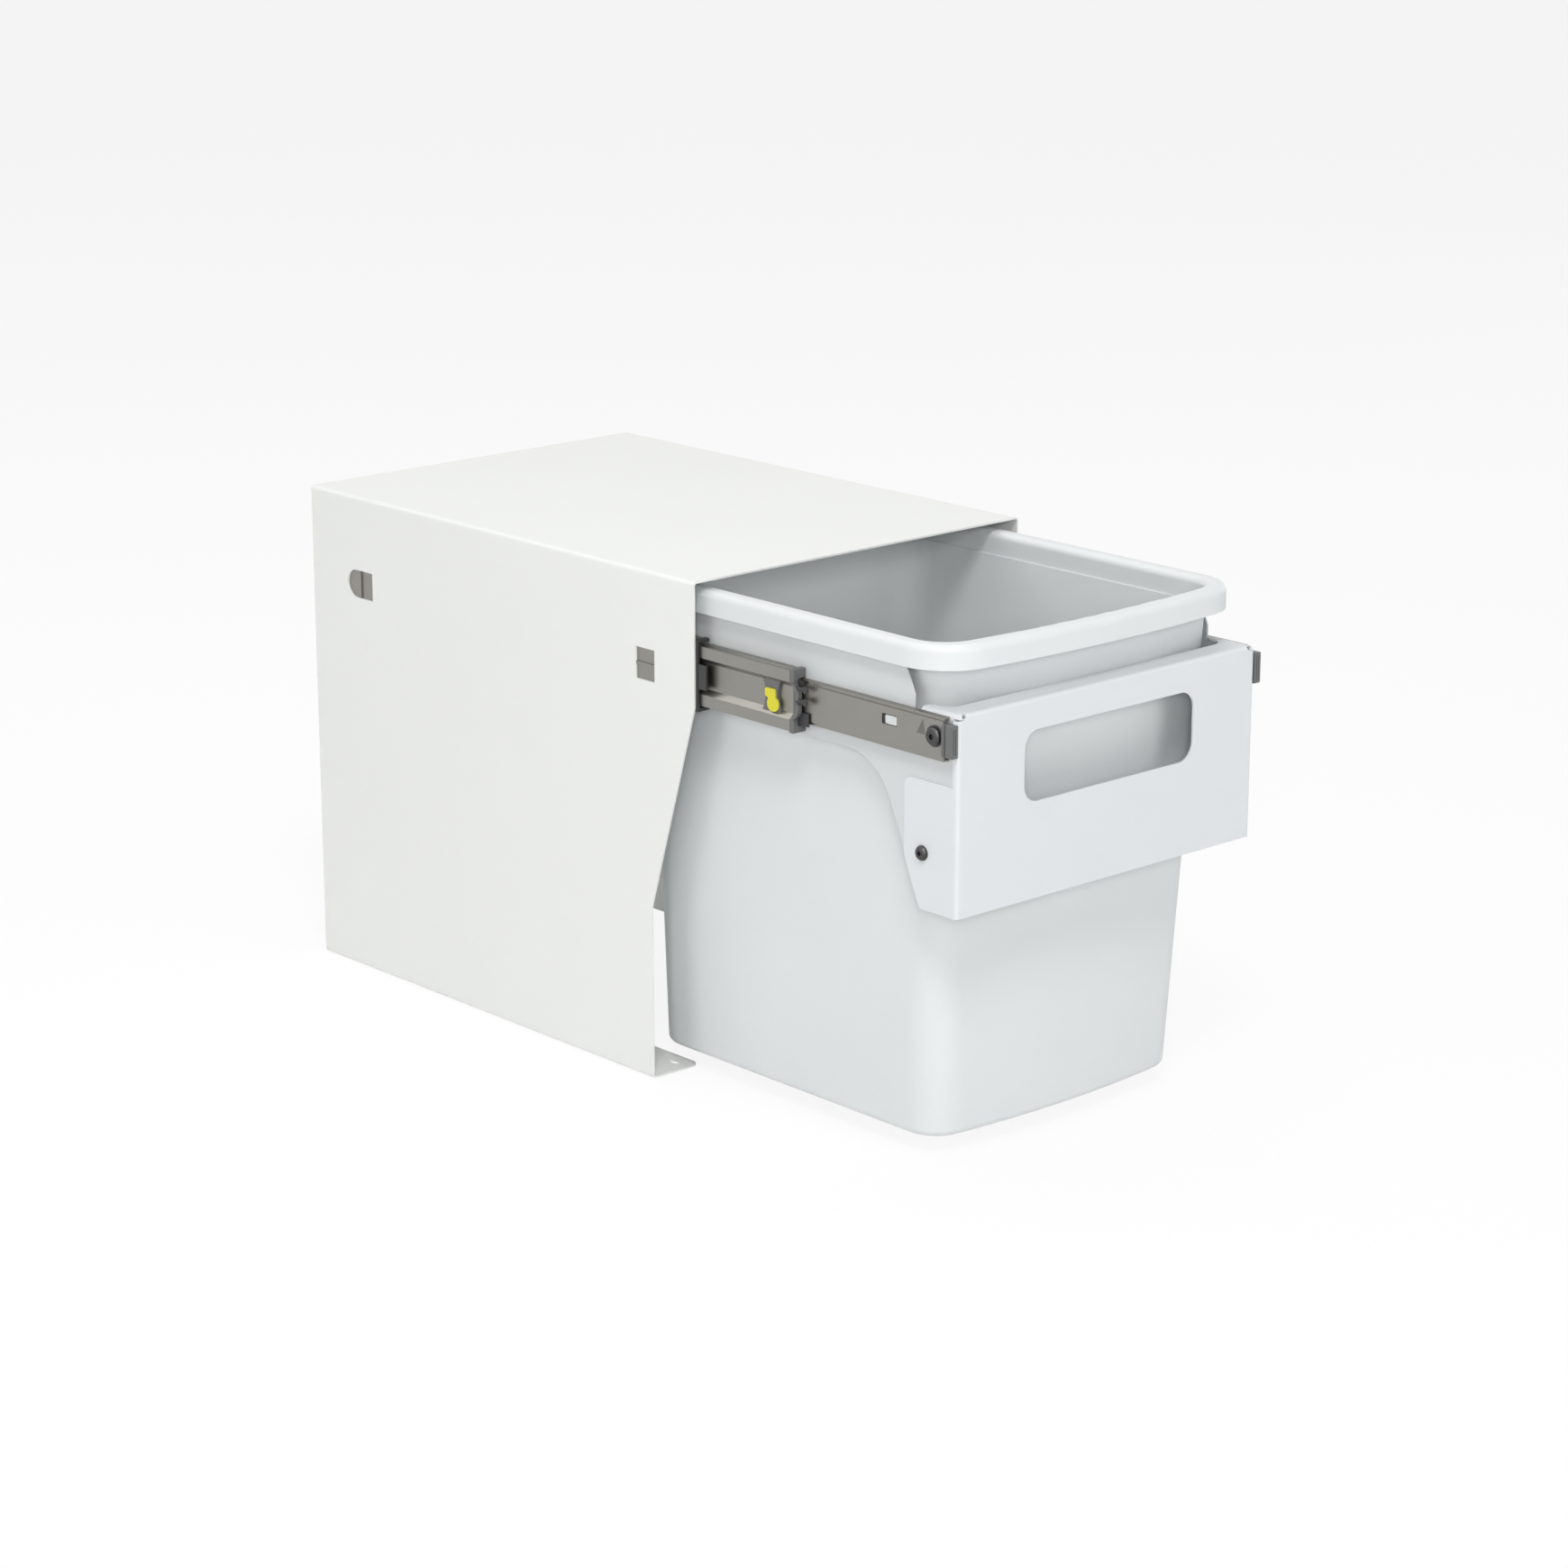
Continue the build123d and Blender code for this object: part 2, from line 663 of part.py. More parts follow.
# ================= inner members =================
half_inner = inner_height / 2
inner_x = slide_x(inner_gap)
inner_back = inner_x + slide_steel
arm_x = slide_x(slide_thickness)
slide_screw_y = plate_face + slide_screw_setback
slide_screw_z = slide_height + slide_screw_rise
web_window_y = plate_face + web_window_setback + web_window_length / 2
web_window_z = slide_height + web_window_rise
rail_front = neck_rear + rail_gap
rail_rivet_y = rail_front + (rail_sheet + rail_flange) / 2
with BuildPart() as inner_member:
    with BuildSketch(across(inner_front + inner_length)):
        with BuildLine():
            Polyline(
                (inner_x, slide_height),
                (inner_x, slide_height + half_inner - inner_step),
                (inner_x + inner_step_depth, slide_height + half_inner - inner_step),
                (inner_x + inner_step_depth, slide_height + half_inner),
                (arm_x, slide_height + half_inner),
                (arm_x, slide_height + half_inner - slide_steel),
                (inner_back + inner_step_depth, slide_height + half_inner - slide_steel),
                (inner_back + inner_step_depth, slide_height + half_inner - inner_step - slide_steel),
                (inner_back, slide_height + half_inner - inner_step - slide_steel),
                (inner_back, slide_height),
                close=True,
            )
        make_face()
        mirror(about=Plane.XZ.offset(-slide_height))
        with Locations(
            (slide_x(inner_ball_depth), slide_height + inner_race),
            (slide_x(inner_ball_depth), slide_height - inner_race),
        ):
            Circle(inner_ball / 2 + race_clearance, mode=Mode.SUBTRACT)
    extrude(amount=inner_length)
    # Window, screw hole and rivet hole in the web.
    with BuildSketch(slide_face(slide_thickness)):
        with Locations((-web_window_y, web_window_z)):
            RectangleRounded(web_window_length, web_window_height, 1.0)
        with Locations((-slide_screw_y, slide_screw_z)):
            Circle(slide_screw_hole / 2)
        with Locations((-rail_rivet_y, slide_height)):
            Circle(rivet_shank / 2 + rivet_clearance)
    extrude(amount=slide_thickness, mode=Mode.SUBTRACT)

save_pair("inner_member", inner_member.part)

# Ribbed plastic stop on the front end of the inner member.
stop_depth = slide_thickness - inner_gap + end_stop_proud
stop_width = stop_depth - plate_sheet - end_stop_clearance  # beside the front plate
rib_pitch = stop_width / end_stop_ribs
groove_middle = -plate_face - end_stop_groove_setback
with BuildPart() as inner_end_stop:
    with BuildSketch(across(inner_front)):
        with Locations((slide_x(slide_thickness - stop_depth / 2), slide_height)):
            Rectangle(stop_depth, end_stop_height)
    extrude(amount=end_stop_length)
    fillet(inner_end_stop.edges().filter_by(Axis.Y), 1.0)
    # Notched round the folded edge of the front plate.
    with BuildSketch(across(plate_face + plate_return + end_stop_clearance)):
        with Locations((-arm_face, slide_height)):
            Rectangle(2 * (plate_sheet + end_stop_clearance), end_stop_height + 1)
    extrude(amount=2 * plate_return, mode=Mode.SUBTRACT)
    # Grooves between the ribs in front, and one upright groove on the outer side.
    with BuildSketch(across(plate_face + end_stop_groove_depth)):
        with Locations((slide_x(slide_thickness - stop_depth + stop_width / 2), slide_height)):
            with GridLocations(rib_pitch, 0, end_stop_ribs - 1, 1):
                Rectangle(0.3 * rib_pitch, end_stop_height - 4)
    extrude(amount=2 * end_stop_groove_depth, mode=Mode.SUBTRACT)
    with BuildSketch(slide_face(slide_thickness - stop_depth + end_stop_groove_depth)):
        with Locations((groove_middle, slide_height)):
            Rectangle(end_stop_groove, end_stop_height + 1)
    extrude(amount=2 * end_stop_groove_depth, mode=Mode.SUBTRACT)

save_pair("inner_end_stop", inner_end_stop.part)

# ================= side arms =================
arm_front = plate_face + plate_sheet + arm_front_gap
arm_shoulder = plate_face + arm_shoulder_setback
arm_step_height = plate_top - flange_end_fold - arm_shoulder_gap
arm_kink_height = hang_top - arm_kink_drop
slant_run = arm_slant_rate * arm_kink_drop
gusset_bottom = plate_bottom + gusset_rise
arm_rear = rim_rear + arm_rear_run
rail_top = rim_bottom - arm_rear_drop
gusset_y = plate_face + gusset_start
turn = radians(gusset_angle)
gusset_end = (-gusset_y + gusset_radius * sin(turn), arm_bottom - gusset_radius * (1 - cos(turn)))
gusset_run = (gusset_end[1] - gusset_bottom) / tan(turn)
plate_screw_y = plate_face + plate_screw_setback
rail_rivet_z = slide_height + half_middle + middle_cap_overhang + rail_rivet_gap + rivet_head / 2
lug_reach = arm_x - inner_x
lug_y = web_window_y - web_window_length / 2 + lug_clearance + lug_length / 2
with BuildPart() as side_arm:
    with BuildSketch(outboard(arm_face - arm_sheet)):
        with BuildLine():
            JernArc((-gusset_y, arm_bottom), (1, 0), gusset_radius, -gusset_angle)
            Polyline(
                gusset_end,
                (gusset_end[0] + gusset_run, gusset_bottom),
                (-arm_front, gusset_bottom),
                (-arm_front, arm_step_height),
                (-arm_shoulder, arm_step_height),
                (-arm_shoulder, arm_kink_height),
                (-arm_shoulder - slant_run, hang_top),
                (-rim_rear + arm_hang_end, hang_top),
                (-rim_rear + arm_hang_end, rail_top),
                (-arm_rear, rail_top),
                (-arm_rear, arm_bottom),
                (-gusset_y, arm_bottom),
            )
        make_face()
        with Locations((-plate_screw_y, plate_screw_height)):
            Circle(plate_screw_hole / 2, mode=Mode.SUBTRACT)
        with Locations((-slide_screw_y, slide_screw_z)):
            Circle(slide_screw_hole / 2, mode=Mode.SUBTRACT)
        with Locations((-rail_rivet_y, slide_height), (-rail_rivet_y, rail_rivet_z)):
            Circle(rivet_shank / 2 + rivet_clearance, mode=Mode.SUBTRACT)
    extrude(amount=arm_sheet)
    fillet(
        side_arm.edges().filter_by(Axis.X).filter_by_position(Axis.Y, arm_rear - 1, arm_rear + 1),
        arm_corner,
    )
    # Lug that locates the inner member by its window.
    with BuildSketch(outboard(arm_face)):
        with Locations((-lug_y, web_window_z)):
            RectangleRounded(lug_length, lug_height, 0.8)
    extrude(amount=lug_reach)

save_pair("side_arm", side_arm.part)

# ================= front plate =================
flange_half = arm_face - flange_end_gap
fold_half = flange_half - flange_end_fold
flange_end_drop = flange_end_fold + arm_shoulder_gap
fold_middle = plate_fold - plate_sheet / 2
face_middle = plate_face + plate_sheet / 2
side_middle = plate_half - plate_sheet / 2
side_flange_slant_top = plate_bottom + side_flange_slant_rise
corner_bottom = plate_top - plate_fold
side_top = corner_bottom - slit_width
return_end = plate_return + slit_width
neck_rise = rim_bottom - plate_top
cutout_front = neck_front - bin_bow + neck_rise * tan(radians(front_draft)) - neck_clearance
cutout_half = neck_half - neck_rise * tan(radians(side_draft)) + neck_clearance
cutout_length = 2 * flange_depth
with BuildPart() as front_plate:
    # Upper part: the face folds back along the top.
    with BuildSketch(outboard(-fold_half)):
        with BuildLine():
            FilletPolyline(
                (-face_middle, side_flange_top),
                (-face_middle, plate_top - plate_sheet / 2),
                (-plate_face - flange_depth, plate_top - plate_sheet / 2),
                radius=fold_middle,
            )
        trace(line_width=plate_sheet)
    extrude(amount=2 * fold_half)
    # The top flange turns down at its ends.
    with BuildSketch(across(plate_face + flange_depth)):
        with BuildLine():
            FilletPolyline(
                (-flange_half + plate_sheet / 2, plate_top - flange_end_drop),
                (-flange_half + plate_sheet / 2, plate_top - plate_sheet / 2),
                (flange_half - plate_sheet / 2, plate_top - plate_sheet / 2),
                (flange_half - plate_sheet / 2, plate_top - flange_end_drop),
                radius=flange_end_fold - plate_sheet / 2,
            )
        trace(line_width=plate_sheet)
    extrude(amount=flange_depth)
    with BuildSketch(across(plate_face + plate_sheet)):
        with Locations((0, plate_top - plate_fold / 2)):
            Rectangle(2 * flange_half, plate_fold)
    extrude(amount=plate_sheet)
    # Both folds are rounded where they meet in the corners.
    with BuildSketch(outboard(-plate_half - 1)):
        with Locations((-plate_face - plate_fold / 2, plate_top - plate_fold / 2)):
            Rectangle(plate_fold, plate_fold)
        with Locations((-plate_face - plate_fold, plate_top - plate_fold)):
            Circle(plate_fold, mode=Mode.SUBTRACT)
    extrude(amount=2 * plate_half + 2, mode=Mode.SUBTRACT)
    with BuildSketch(across(plate_face + plate_sheet)):
        with Locations((0, plate_top - flange_end_fold / 2)):
            Rectangle(2 * flange_half, flange_end_fold)
            Rectangle(2 * fold_half, flange_end_fold, mode=Mode.SUBTRACT)
        with Locations((0, plate_top - flange_end_fold)):
            with GridLocations(2 * fold_half, 0, 2, 1):
                Circle(flange_end_fold, mode=Mode.SUBTRACT)
    extrude(amount=2 * plate_sheet, mode=Mode.SUBTRACT)
    # Room for the sides' folds under the corners.
    with BuildSketch(across(plate_face + return_end)):
        with Locations((0, corner_bottom - plate_fold)):
            Rectangle(2 * plate_half, 2 * plate_fold)
            Rectangle(2 * fold_half, 2 * plate_fold, mode=Mode.SUBTRACT)
    extrude(amount=2 * return_end, mode=Mode.SUBTRACT)
    # The face, with a flange folded back on either side.
    with BuildSketch(Plane.XY.offset(plate_bottom)):
        with BuildLine():
            FilletPolyline(
                (-side_middle, plate_face + side_flange_depth),
                (-side_middle, face_middle),
                (side_middle, face_middle),
                (side_middle, plate_face + side_flange_depth),
                radius=fold_middle,
            )
        trace(line_width=plate_sheet)
    extrude(amount=side_top - plate_bottom)
    # Below, the side flanges slant; above them only a narrow return is left.
    for side_x in (-plate_half - 1, plate_half - plate_sheet):
        with BuildSketch(outboard(side_x)):
            with BuildLine():
                Polyline(
                    (-plate_face - side_flange_slant_depth, plate_bottom - 1),
                    (-plate_face - side_flange_slant_depth, plate_bottom),
                    (-plate_face - side_flange_depth, side_flange_slant_top),
                    (-plate_face - side_flange_depth - 1, side_flange_slant_top),
                    (-plate_face - side_flange_depth - 1, plate_bottom - 1),
                    close=True,
                )
            make_face()
            with BuildLine():
                Polyline(
                    (-plate_face - plate_return, side_flange_top),
                    (-plate_face - plate_return, side_top),
                    (-plate_face - side_flange_depth - 1, side_top),
                    (-plate_face - side_flange_depth - 1, side_flange_top),
                    close=True,
                )
            make_face()
        extrude(amount=plate_sheet + 1, mode=Mode.SUBTRACT)
    fillet(
        front_plate.edges()
        .filter_by(Axis.X)
        .filter_by_position(Axis.Z, side_flange_top - 1, side_flange_top + 1)
        .group_by(Axis.Y)[-1],
        side_flange_corner,
    )
    # Rounded upper corners of the sides, a round relief at each end of the top fold,
    # the handle, and the side screws' holes.
    with BuildSketch(across(plate_face + return_end)):
        with Locations((0, side_top - plate_corner / 2)):
            Rectangle(2 * plate_half + 2, plate_corner)
            Rectangle(2 * (plate_half - plate_corner), plate_corner, mode=Mode.SUBTRACT)
        with Locations((0, side_top - plate_corner)):
            with GridLocations(2 * (plate_half - plate_corner), 0, 2, 1):
                Circle(plate_corner, mode=Mode.SUBTRACT)
    extrude(amount=2 * return_end, mode=Mode.SUBTRACT)
    with BuildSketch(across(plate_face + plate_fold)):
        with Locations((0, plate_top - relief_drop)):
            with GridLocations(2 * (plate_half - relief_inset), 0, 2, 1):
                Circle(relief_radius)
        with Locations((0, handle_middle)):
            RectangleRounded(handle_width, handle_height, handle_corner)
    extrude(amount=2 * plate_fold, mode=Mode.SUBTRACT)
    with BuildSketch(outboard(-plate_half - 1)):
        with Locations((-plate_screw_y, plate_screw_height)):
            Circle(plate_screw_hole / 2)
    extrude(amount=2 * plate_half + 2, mode=Mode.SUBTRACT)
    # The top flange is cut out for the bin's neck.
    with BuildSketch(Plane.XY.offset(plate_top - plate_fold - 1)):
        with Locations((0, cutout_front + cutout_length / 2)):
            RectangleRounded(2 * cutout_half, cutout_length, cutout_corner)
    extrude(amount=plate_fold + 2, mode=Mode.SUBTRACT)
    fillet(
        front_plate.edges()
        .filter_by(Axis.Z)
        .filter_by_position(Axis.Z, plate_top - plate_sheet, plate_top)
        .group_by(Axis.Y)[-1],
        flange_corner,
    )

save("front_plate", front_plate.part)

# ================= rear rail =================
rail_half = arm_face - arm_sheet - rail_sheet / 2
rail_middle = rail_front + rail_sheet / 2
with BuildPart() as rear_rail:
    with BuildSketch(Plane.XY.offset(rail_top - rail_height)):
        with BuildLine():
            FilletPolyline(
                (-rail_half, rail_front + rail_flange),
                (-rail_half, rail_middle),
                (rail_half, rail_middle),
                (rail_half, rail_front + rail_flange),
                radius=fold_middle,
            )
        trace(line_width=rail_sheet)
    extrude(amount=rail_height)
    # The tab that carries the rear of the rim.
    with BuildSketch(across(rail_front + rail_sheet)):
        with Locations((0, (rail_top + hang_top) / 2)):
            Rectangle(rail_tab_width, hang_top - rail_top)
    extrude(amount=rail_sheet)
    with BuildSketch(outboard(-arm_face)):
        with Locations((-rail_rivet_y, slide_height), (-rail_rivet_y, rail_rivet_z)):
            Circle(rivet_shank / 2 + rivet_clearance)
    extrude(amount=2 * arm_face, mode=Mode.SUBTRACT)

save("rear_rail", rear_rail.part)

# ================= fasteners =================
arm_inner_gap = slide_thickness + arm_sheet  # from the housing's side to the arm's inner face
rail_inner_gap = arm_inner_gap + rail_sheet
plate_gap = inside - plate_half  # from the housing's side to the plate's side flange

with BuildPart() as plate_screw:
    with BuildSketch(slide_face(plate_gap)):
        with Locations((-plate_screw_y, plate_screw_height)):
            Circle(plate_screw_head / 2)
    extrude(amount=plate_screw_head_height)
    fillet(plate_screw.edges().group_by(Axis.X)[0], 0.8 * plate_screw_head_height)
    shank_length = plate_sheet + arm_sheet + plate_nut_height + screw_overrun
    with BuildSketch(slide_face(plate_gap + shank_length)):
        with Locations((-plate_screw_y, plate_screw_height)):
            Circle(plate_screw_shank / 2)
    extrude(amount=shank_length)
    with BuildSketch(slide_face(plate_gap - plate_screw_head_height + socket_depth)):
        with Locations((-plate_screw_y, plate_screw_height)):
            RegularPolygon(socket_share * plate_screw_head / 2, 6)
    extrude(amount=socket_depth, mode=Mode.SUBTRACT)

save_pair("plate_screw", plate_screw.part)

with BuildPart() as plate_nut:
    with BuildSketch(slide_face(plate_gap + plate_sheet + arm_sheet + plate_nut_height)):
        with Locations((-plate_screw_y, plate_screw_height)):
            RegularPolygon(plate_nut_radius, 6)
            Circle(plate_screw_shank / 2 + nut_clearance, mode=Mode.SUBTRACT)
    extrude(amount=plate_nut_height)

save_pair("plate_nut", plate_nut.part)

with BuildPart() as slide_screw:
    with BuildSketch(slide_face(inner_gap)):
        with Locations((-slide_screw_y, slide_screw_z)):
            Circle(slide_screw_flange / 2)
    extrude(amount=screw_flange_height)
    with BuildSketch(slide_face(inner_gap - screw_flange_height)):
        with Locations((-slide_screw_y, slide_screw_z)):
            Circle(slide_screw_head / 2)
    extrude(amount=slide_screw_head_height - screw_flange_height)
    fillet(
        slide_screw.edges().group_by(Axis.X)[0],
        0.8 * (slide_screw_head_height - screw_flange_height),
    )
    with BuildSketch(slide_face(arm_inner_gap + slide_nut_height + screw_overrun)):
        with Locations((-slide_screw_y, slide_screw_z)):
            Circle(slide_screw_shank / 2)
    extrude(amount=arm_inner_gap + slide_nut_height + screw_overrun - inner_gap)
    with BuildSketch(slide_face(inner_gap - slide_screw_head_height + socket_depth)):
        with Locations((-slide_screw_y, slide_screw_z)):
            RegularPolygon(socket_share * slide_screw_head / 2, 6)
    extrude(amount=socket_depth, mode=Mode.SUBTRACT)

save_pair("slide_screw", slide_screw.part)

with BuildPart() as spacer_bush:
    with BuildSketch(slide_face(slide_thickness)):
        with Locations((-slide_screw_y, slide_screw_z)):
            Circle(bush_radius)
            Circle(slide_screw_hole / 2, mode=Mode.SUBTRACT)
    extrude(amount=slide_thickness - inner_gap - slide_steel)

save_pair("spacer_bush", spacer_bush.part)

with BuildPart() as slide_nut:
    with BuildSketch(slide_face(arm_inner_gap + slide_nut_height)):
        with Locations((-slide_screw_y, slide_screw_z)):
            RegularPolygon(slide_nut_radius, 6)
            Circle(slide_screw_shank / 2 + nut_clearance, mode=Mode.SUBTRACT)
    extrude(amount=slide_nut_height)

save_pair("slide_nut", slide_nut.part)

# Shouldered rivet through the inner member, the arm and the rail.
with BuildPart() as slide_rivet:
    with BuildSketch(slide_face(rail_inner_gap + rivet_head_height)):
        with Locations((-rail_rivet_y, slide_height)):
            Circle(rivet_head / 2)
    extrude(amount=rivet_head_height)
    chamfer(slide_rivet.edges().group_by(Axis.X)[-1], 0.5 * rivet_head_height)
    with BuildSketch(slide_face(rail_inner_gap)):
        with Locations((-rail_rivet_y, slide_height)):
            Circle(rivet_shank / 2)
    extrude(amount=rail_inner_gap - inner_gap)
    with BuildSketch(slide_face(slide_thickness)):
        with Locations((-rail_rivet_y, slide_height)):
            Circle(rivet_head / 2)
    extrude(amount=slide_thickness - inner_gap - slide_steel)

save_pair("slide_rivet", slide_rivet.part)

with BuildPart() as rail_rivet:
    with BuildSketch(slide_face(rail_inner_gap + rivet_head_height)):
        with Locations((-rail_rivet_y, rail_rivet_z)):
            Circle(rivet_head / 2)
    extrude(amount=rivet_head_height)
    chamfer(rail_rivet.edges().group_by(Axis.X)[-1], 0.5 * rivet_head_height)
    with BuildSketch(slide_face(rail_inner_gap)):
        with Locations((-rail_rivet_y, rail_rivet_z)):
            Circle(rivet_shank / 2)
    extrude(amount=rail_inner_gap - slide_thickness)
    with BuildSketch(slide_face(slide_thickness)):
        with Locations((-rail_rivet_y, rail_rivet_z)):
            Circle(rivet_head / 2)
    extrude(amount=rivet_head_height)
    chamfer(rail_rivet.edges().group_by(Axis.X)[0], 0.5 * rivet_head_height)

save_pair("rail_rivet", rail_rivet.part)

# ================= bin =================


def bowed_oblong(half, front, rear, corner):
    """A rounded oblong whose front side bulges; front is where its bulge begins."""
    bow_end = front + bin_bow * ((half / (half - corner)) ** 2 - 1)
    with BuildSketch() as outline:
        with BuildLine():
            ThreePointArc((-half, bow_end), (0, front - bin_bow), (half, bow_end))
            Polyline((half, bow_end), (half, rear), (-half, rear), (-half, bow_end))
        make_face()
        fillet(outline.vertices(), corner)
    return outline.sketch


def bin_outline(z, wall):
    """The outline of the bin's wall at height z, wall further in than its outside."""
    fall = rim_bottom - z
    half = neck_half - fall * tan(radians(side_draft)) - wall
    front = neck_front + fall * tan(radians(front_draft)) + wall
    rear = neck_rear - fall * tan(radians(rear_draft)) - wall
    share = fall / (rim_bottom - bin_bottom)
    corner = neck_corner + share * (bin_foot_corner - neck_corner) - wall
    return bowed_oblong(half, front, rear, corner)


def rim_outline(wall):
    """The outline of the rim, wall further in than its outside."""
    return bowed_oblong(
        bin_width / 2 - wall,
        rim_front + wall,
        rim_rear - wall,
        rim_corner - wall,
    )


with BuildPart() as bin_cavity:
    for z in (bin_bottom + bin_floor, rim_bottom):
        with BuildSketch(Plane.XY.offset(z)):
            add(bin_outline(z, bin_wall))
    loft(ruled=True)
    fillet(bin_cavity.edges().group_by(Axis.Z)[0], bin_foot_edge - bin_wall)

# The channel under the rim, as even in thickness as the rim is rounded.
with BuildPart() as rim_channel:
    with BuildSketch(Plane.XY.offset(rim_bottom)):
        add(rim_outline(bin_wall))
        add(bin_outline(rim_bottom, -ledge_step), mode=Mode.SUBTRACT)
    extrude(amount=rim_height - bin_wall)
    fillet(rim_channel.edges().group_by(Axis.Z)[-1], rim_edge - bin_wall)

with BuildPart() as bin_body:
    for z in (bin_bottom, rim_bottom):
        with BuildSketch(Plane.XY.offset(z)):
            add(bin_outline(z, 0))
    loft(ruled=True)
    fillet(bin_body.edges().group_by(Axis.Z)[0], bin_foot_edge)
    # Rim, with a small ledge inside where its mouth is wider than the body below.
    with BuildSketch(Plane.XY.offset(rim_bottom - bin_wall)):
        add(bin_outline(rim_bottom, -ledge_step))
    extrude(amount=rim_height)
    with BuildSketch(Plane.XY.offset(rim_bottom)):
        add(rim_outline(0))
    extrude(amount=rim_height)
    with BuildSketch(Plane.XY.offset(rim_bottom)):
        add(bin_outline(rim_bottom, bin_wall - ledge_step))
    extrude(amount=rim_height, mode=Mode.SUBTRACT)
    fillet(bin_body.edges().group_by(Axis.Z)[-1], rim_edge)
    add(rim_channel.part, mode=Mode.SUBTRACT)
    add(bin_cavity.part, mode=Mode.SUBTRACT)

save("bin", bin_body.part)
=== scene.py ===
"""Pull-out waste cabinet in white steel and plastic.

Dresses the pieces of the CAD model, adds the small parts that only the scene has, and sets up
the studio and the camera.
"""

import logging
from collections.abc import Callable
from dataclasses import dataclass, field
from enum import Enum
from math import radians, sqrt
from typing import ClassVar

import bpy
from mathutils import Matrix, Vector


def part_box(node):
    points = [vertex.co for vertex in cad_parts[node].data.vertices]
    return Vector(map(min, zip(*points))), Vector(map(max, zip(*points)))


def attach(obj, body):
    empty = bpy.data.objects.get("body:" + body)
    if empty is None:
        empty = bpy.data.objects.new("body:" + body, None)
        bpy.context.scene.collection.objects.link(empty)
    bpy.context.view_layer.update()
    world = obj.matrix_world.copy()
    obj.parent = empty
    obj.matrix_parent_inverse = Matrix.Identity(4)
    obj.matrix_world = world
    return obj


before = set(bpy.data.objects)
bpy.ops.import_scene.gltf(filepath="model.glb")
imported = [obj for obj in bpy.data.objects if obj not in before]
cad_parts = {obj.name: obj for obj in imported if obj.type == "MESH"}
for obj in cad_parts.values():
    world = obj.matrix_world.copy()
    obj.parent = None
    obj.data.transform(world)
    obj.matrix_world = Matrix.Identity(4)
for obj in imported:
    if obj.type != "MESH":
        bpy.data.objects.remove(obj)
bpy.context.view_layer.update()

LOG = logging.getLogger("waste_cabinet")
WHITE = (1.0, 1.0, 1.0, 1.0)
MM = 0.001

# Places closer than TOUCH count as the same, and a face looks along an axis when its normal
# has at least the share FACING of it.
TOUCH = 0.01 * MM
FACING = 0.9


class Side(Enum):
    """The left or the right half of the cabinet, by the ending of its pieces' names."""

    LEFT = "left"
    RIGHT = "right"


class Surface(Enum):
    """How a surface is made, which decides its fine relief."""

    COATED = "powder_coat"
    MOULDED = "moulded_skin"
    ROLLED = "rolled_zinc"


@dataclass(frozen=True)
class Tone:
    """A colour as it looks, in parts of 255."""

    red: float
    green: float
    blue: float

    def linear(self) -> tuple[float, float, float, float]:
        """The colour as light, with full opacity."""
        return (*(self._decode(part) for part in (self.red, self.green, self.blue)), 1.0)

    @staticmethod
    def _decode(part: float) -> float:
        """One part of the colour as light, by the curve of the sRGB standard.

        Args:
            part: the part as it looks, from 0 to 255.

        Returns:
            The part as light, from 0 to 1.
        """
        share = part / 255
        if share <= 0.04045:
            return share / 12.92
        return ((share + 0.055) / 1.055) ** 2.4


class NodeBench:
    """Adds nodes to one tree and joins them."""

    SPACING: ClassVar[int] = 220

    def __init__(self, tree: bpy.types.NodeTree) -> None:
        """Takes the tree that the nodes go into."""
        self.tree = tree

    def add(self, kind: str, **values: object) -> bpy.types.Node:
        """Adds a node.

        Args:
            kind: Blender's name for the node type.
            values: properties of the node, or socket values by socket name.

        Returns:
            The new node.
        """
        node = self.tree.nodes.new(kind)
        node.location = (self.SPACING * len(self.tree.nodes), 0)
        for key, value in values.items():
            if hasattr(node, key):
                setattr(node, key, value)
            else:
                node.inputs[key].default_value = value
        return node

    def join(self, source: bpy.types.NodeSocket, target: bpy.types.NodeSocket) -> None:
        """Links an output to an input."""
        self.tree.links.new(source, target)

    def math(
        self, operation: str, *terms: bpy.types.NodeSocket | float
    ) -> bpy.types.NodeSocket:
        """Adds a Math node.

        Args:
            operation: Blender's name for the operation.
            terms: what goes into the node, in order: outputs to link, or plain numbers.

        Returns:
            The node's output.
        """
        node = self.add("ShaderNodeMath", operation=operation)
        for term, target in zip(terms, node.inputs):
            if isinstance(term, bpy.types.NodeSocket):
                self.join(term, target)
            else:
                target.default_value = term
        return node.outputs["Value"]

    def blend(
        self,
        share: bpy.types.NodeSocket,
        first: bpy.types.NodeSocket,
        second: bpy.types.NodeSocket,
    ) -> bpy.types.NodeSocket:
        """Adds a Mix Shader node.

        Args:
            share: how much of the second shader shows, from 0 to 1.
            first: the shader that shows at 0.
            second: the shader that shows at 1.

        Returns:
            The mixed shader.
        """
        node = self.add("ShaderNodeMixShader")
        for source, target in zip((share, first, second), node.inputs):
            self.join(source, target)
        return node.outputs["Shader"]


@dataclass(frozen=True)
class Reach:
    """How far the cloud and the fine relief of a surface go.

    The shade is how far the cloud darkens the colour, the depth is the height of the relief,
    and the spread is how far the cloud raises the roughness.
    """

    shade: float
    depth: float
    spread: float


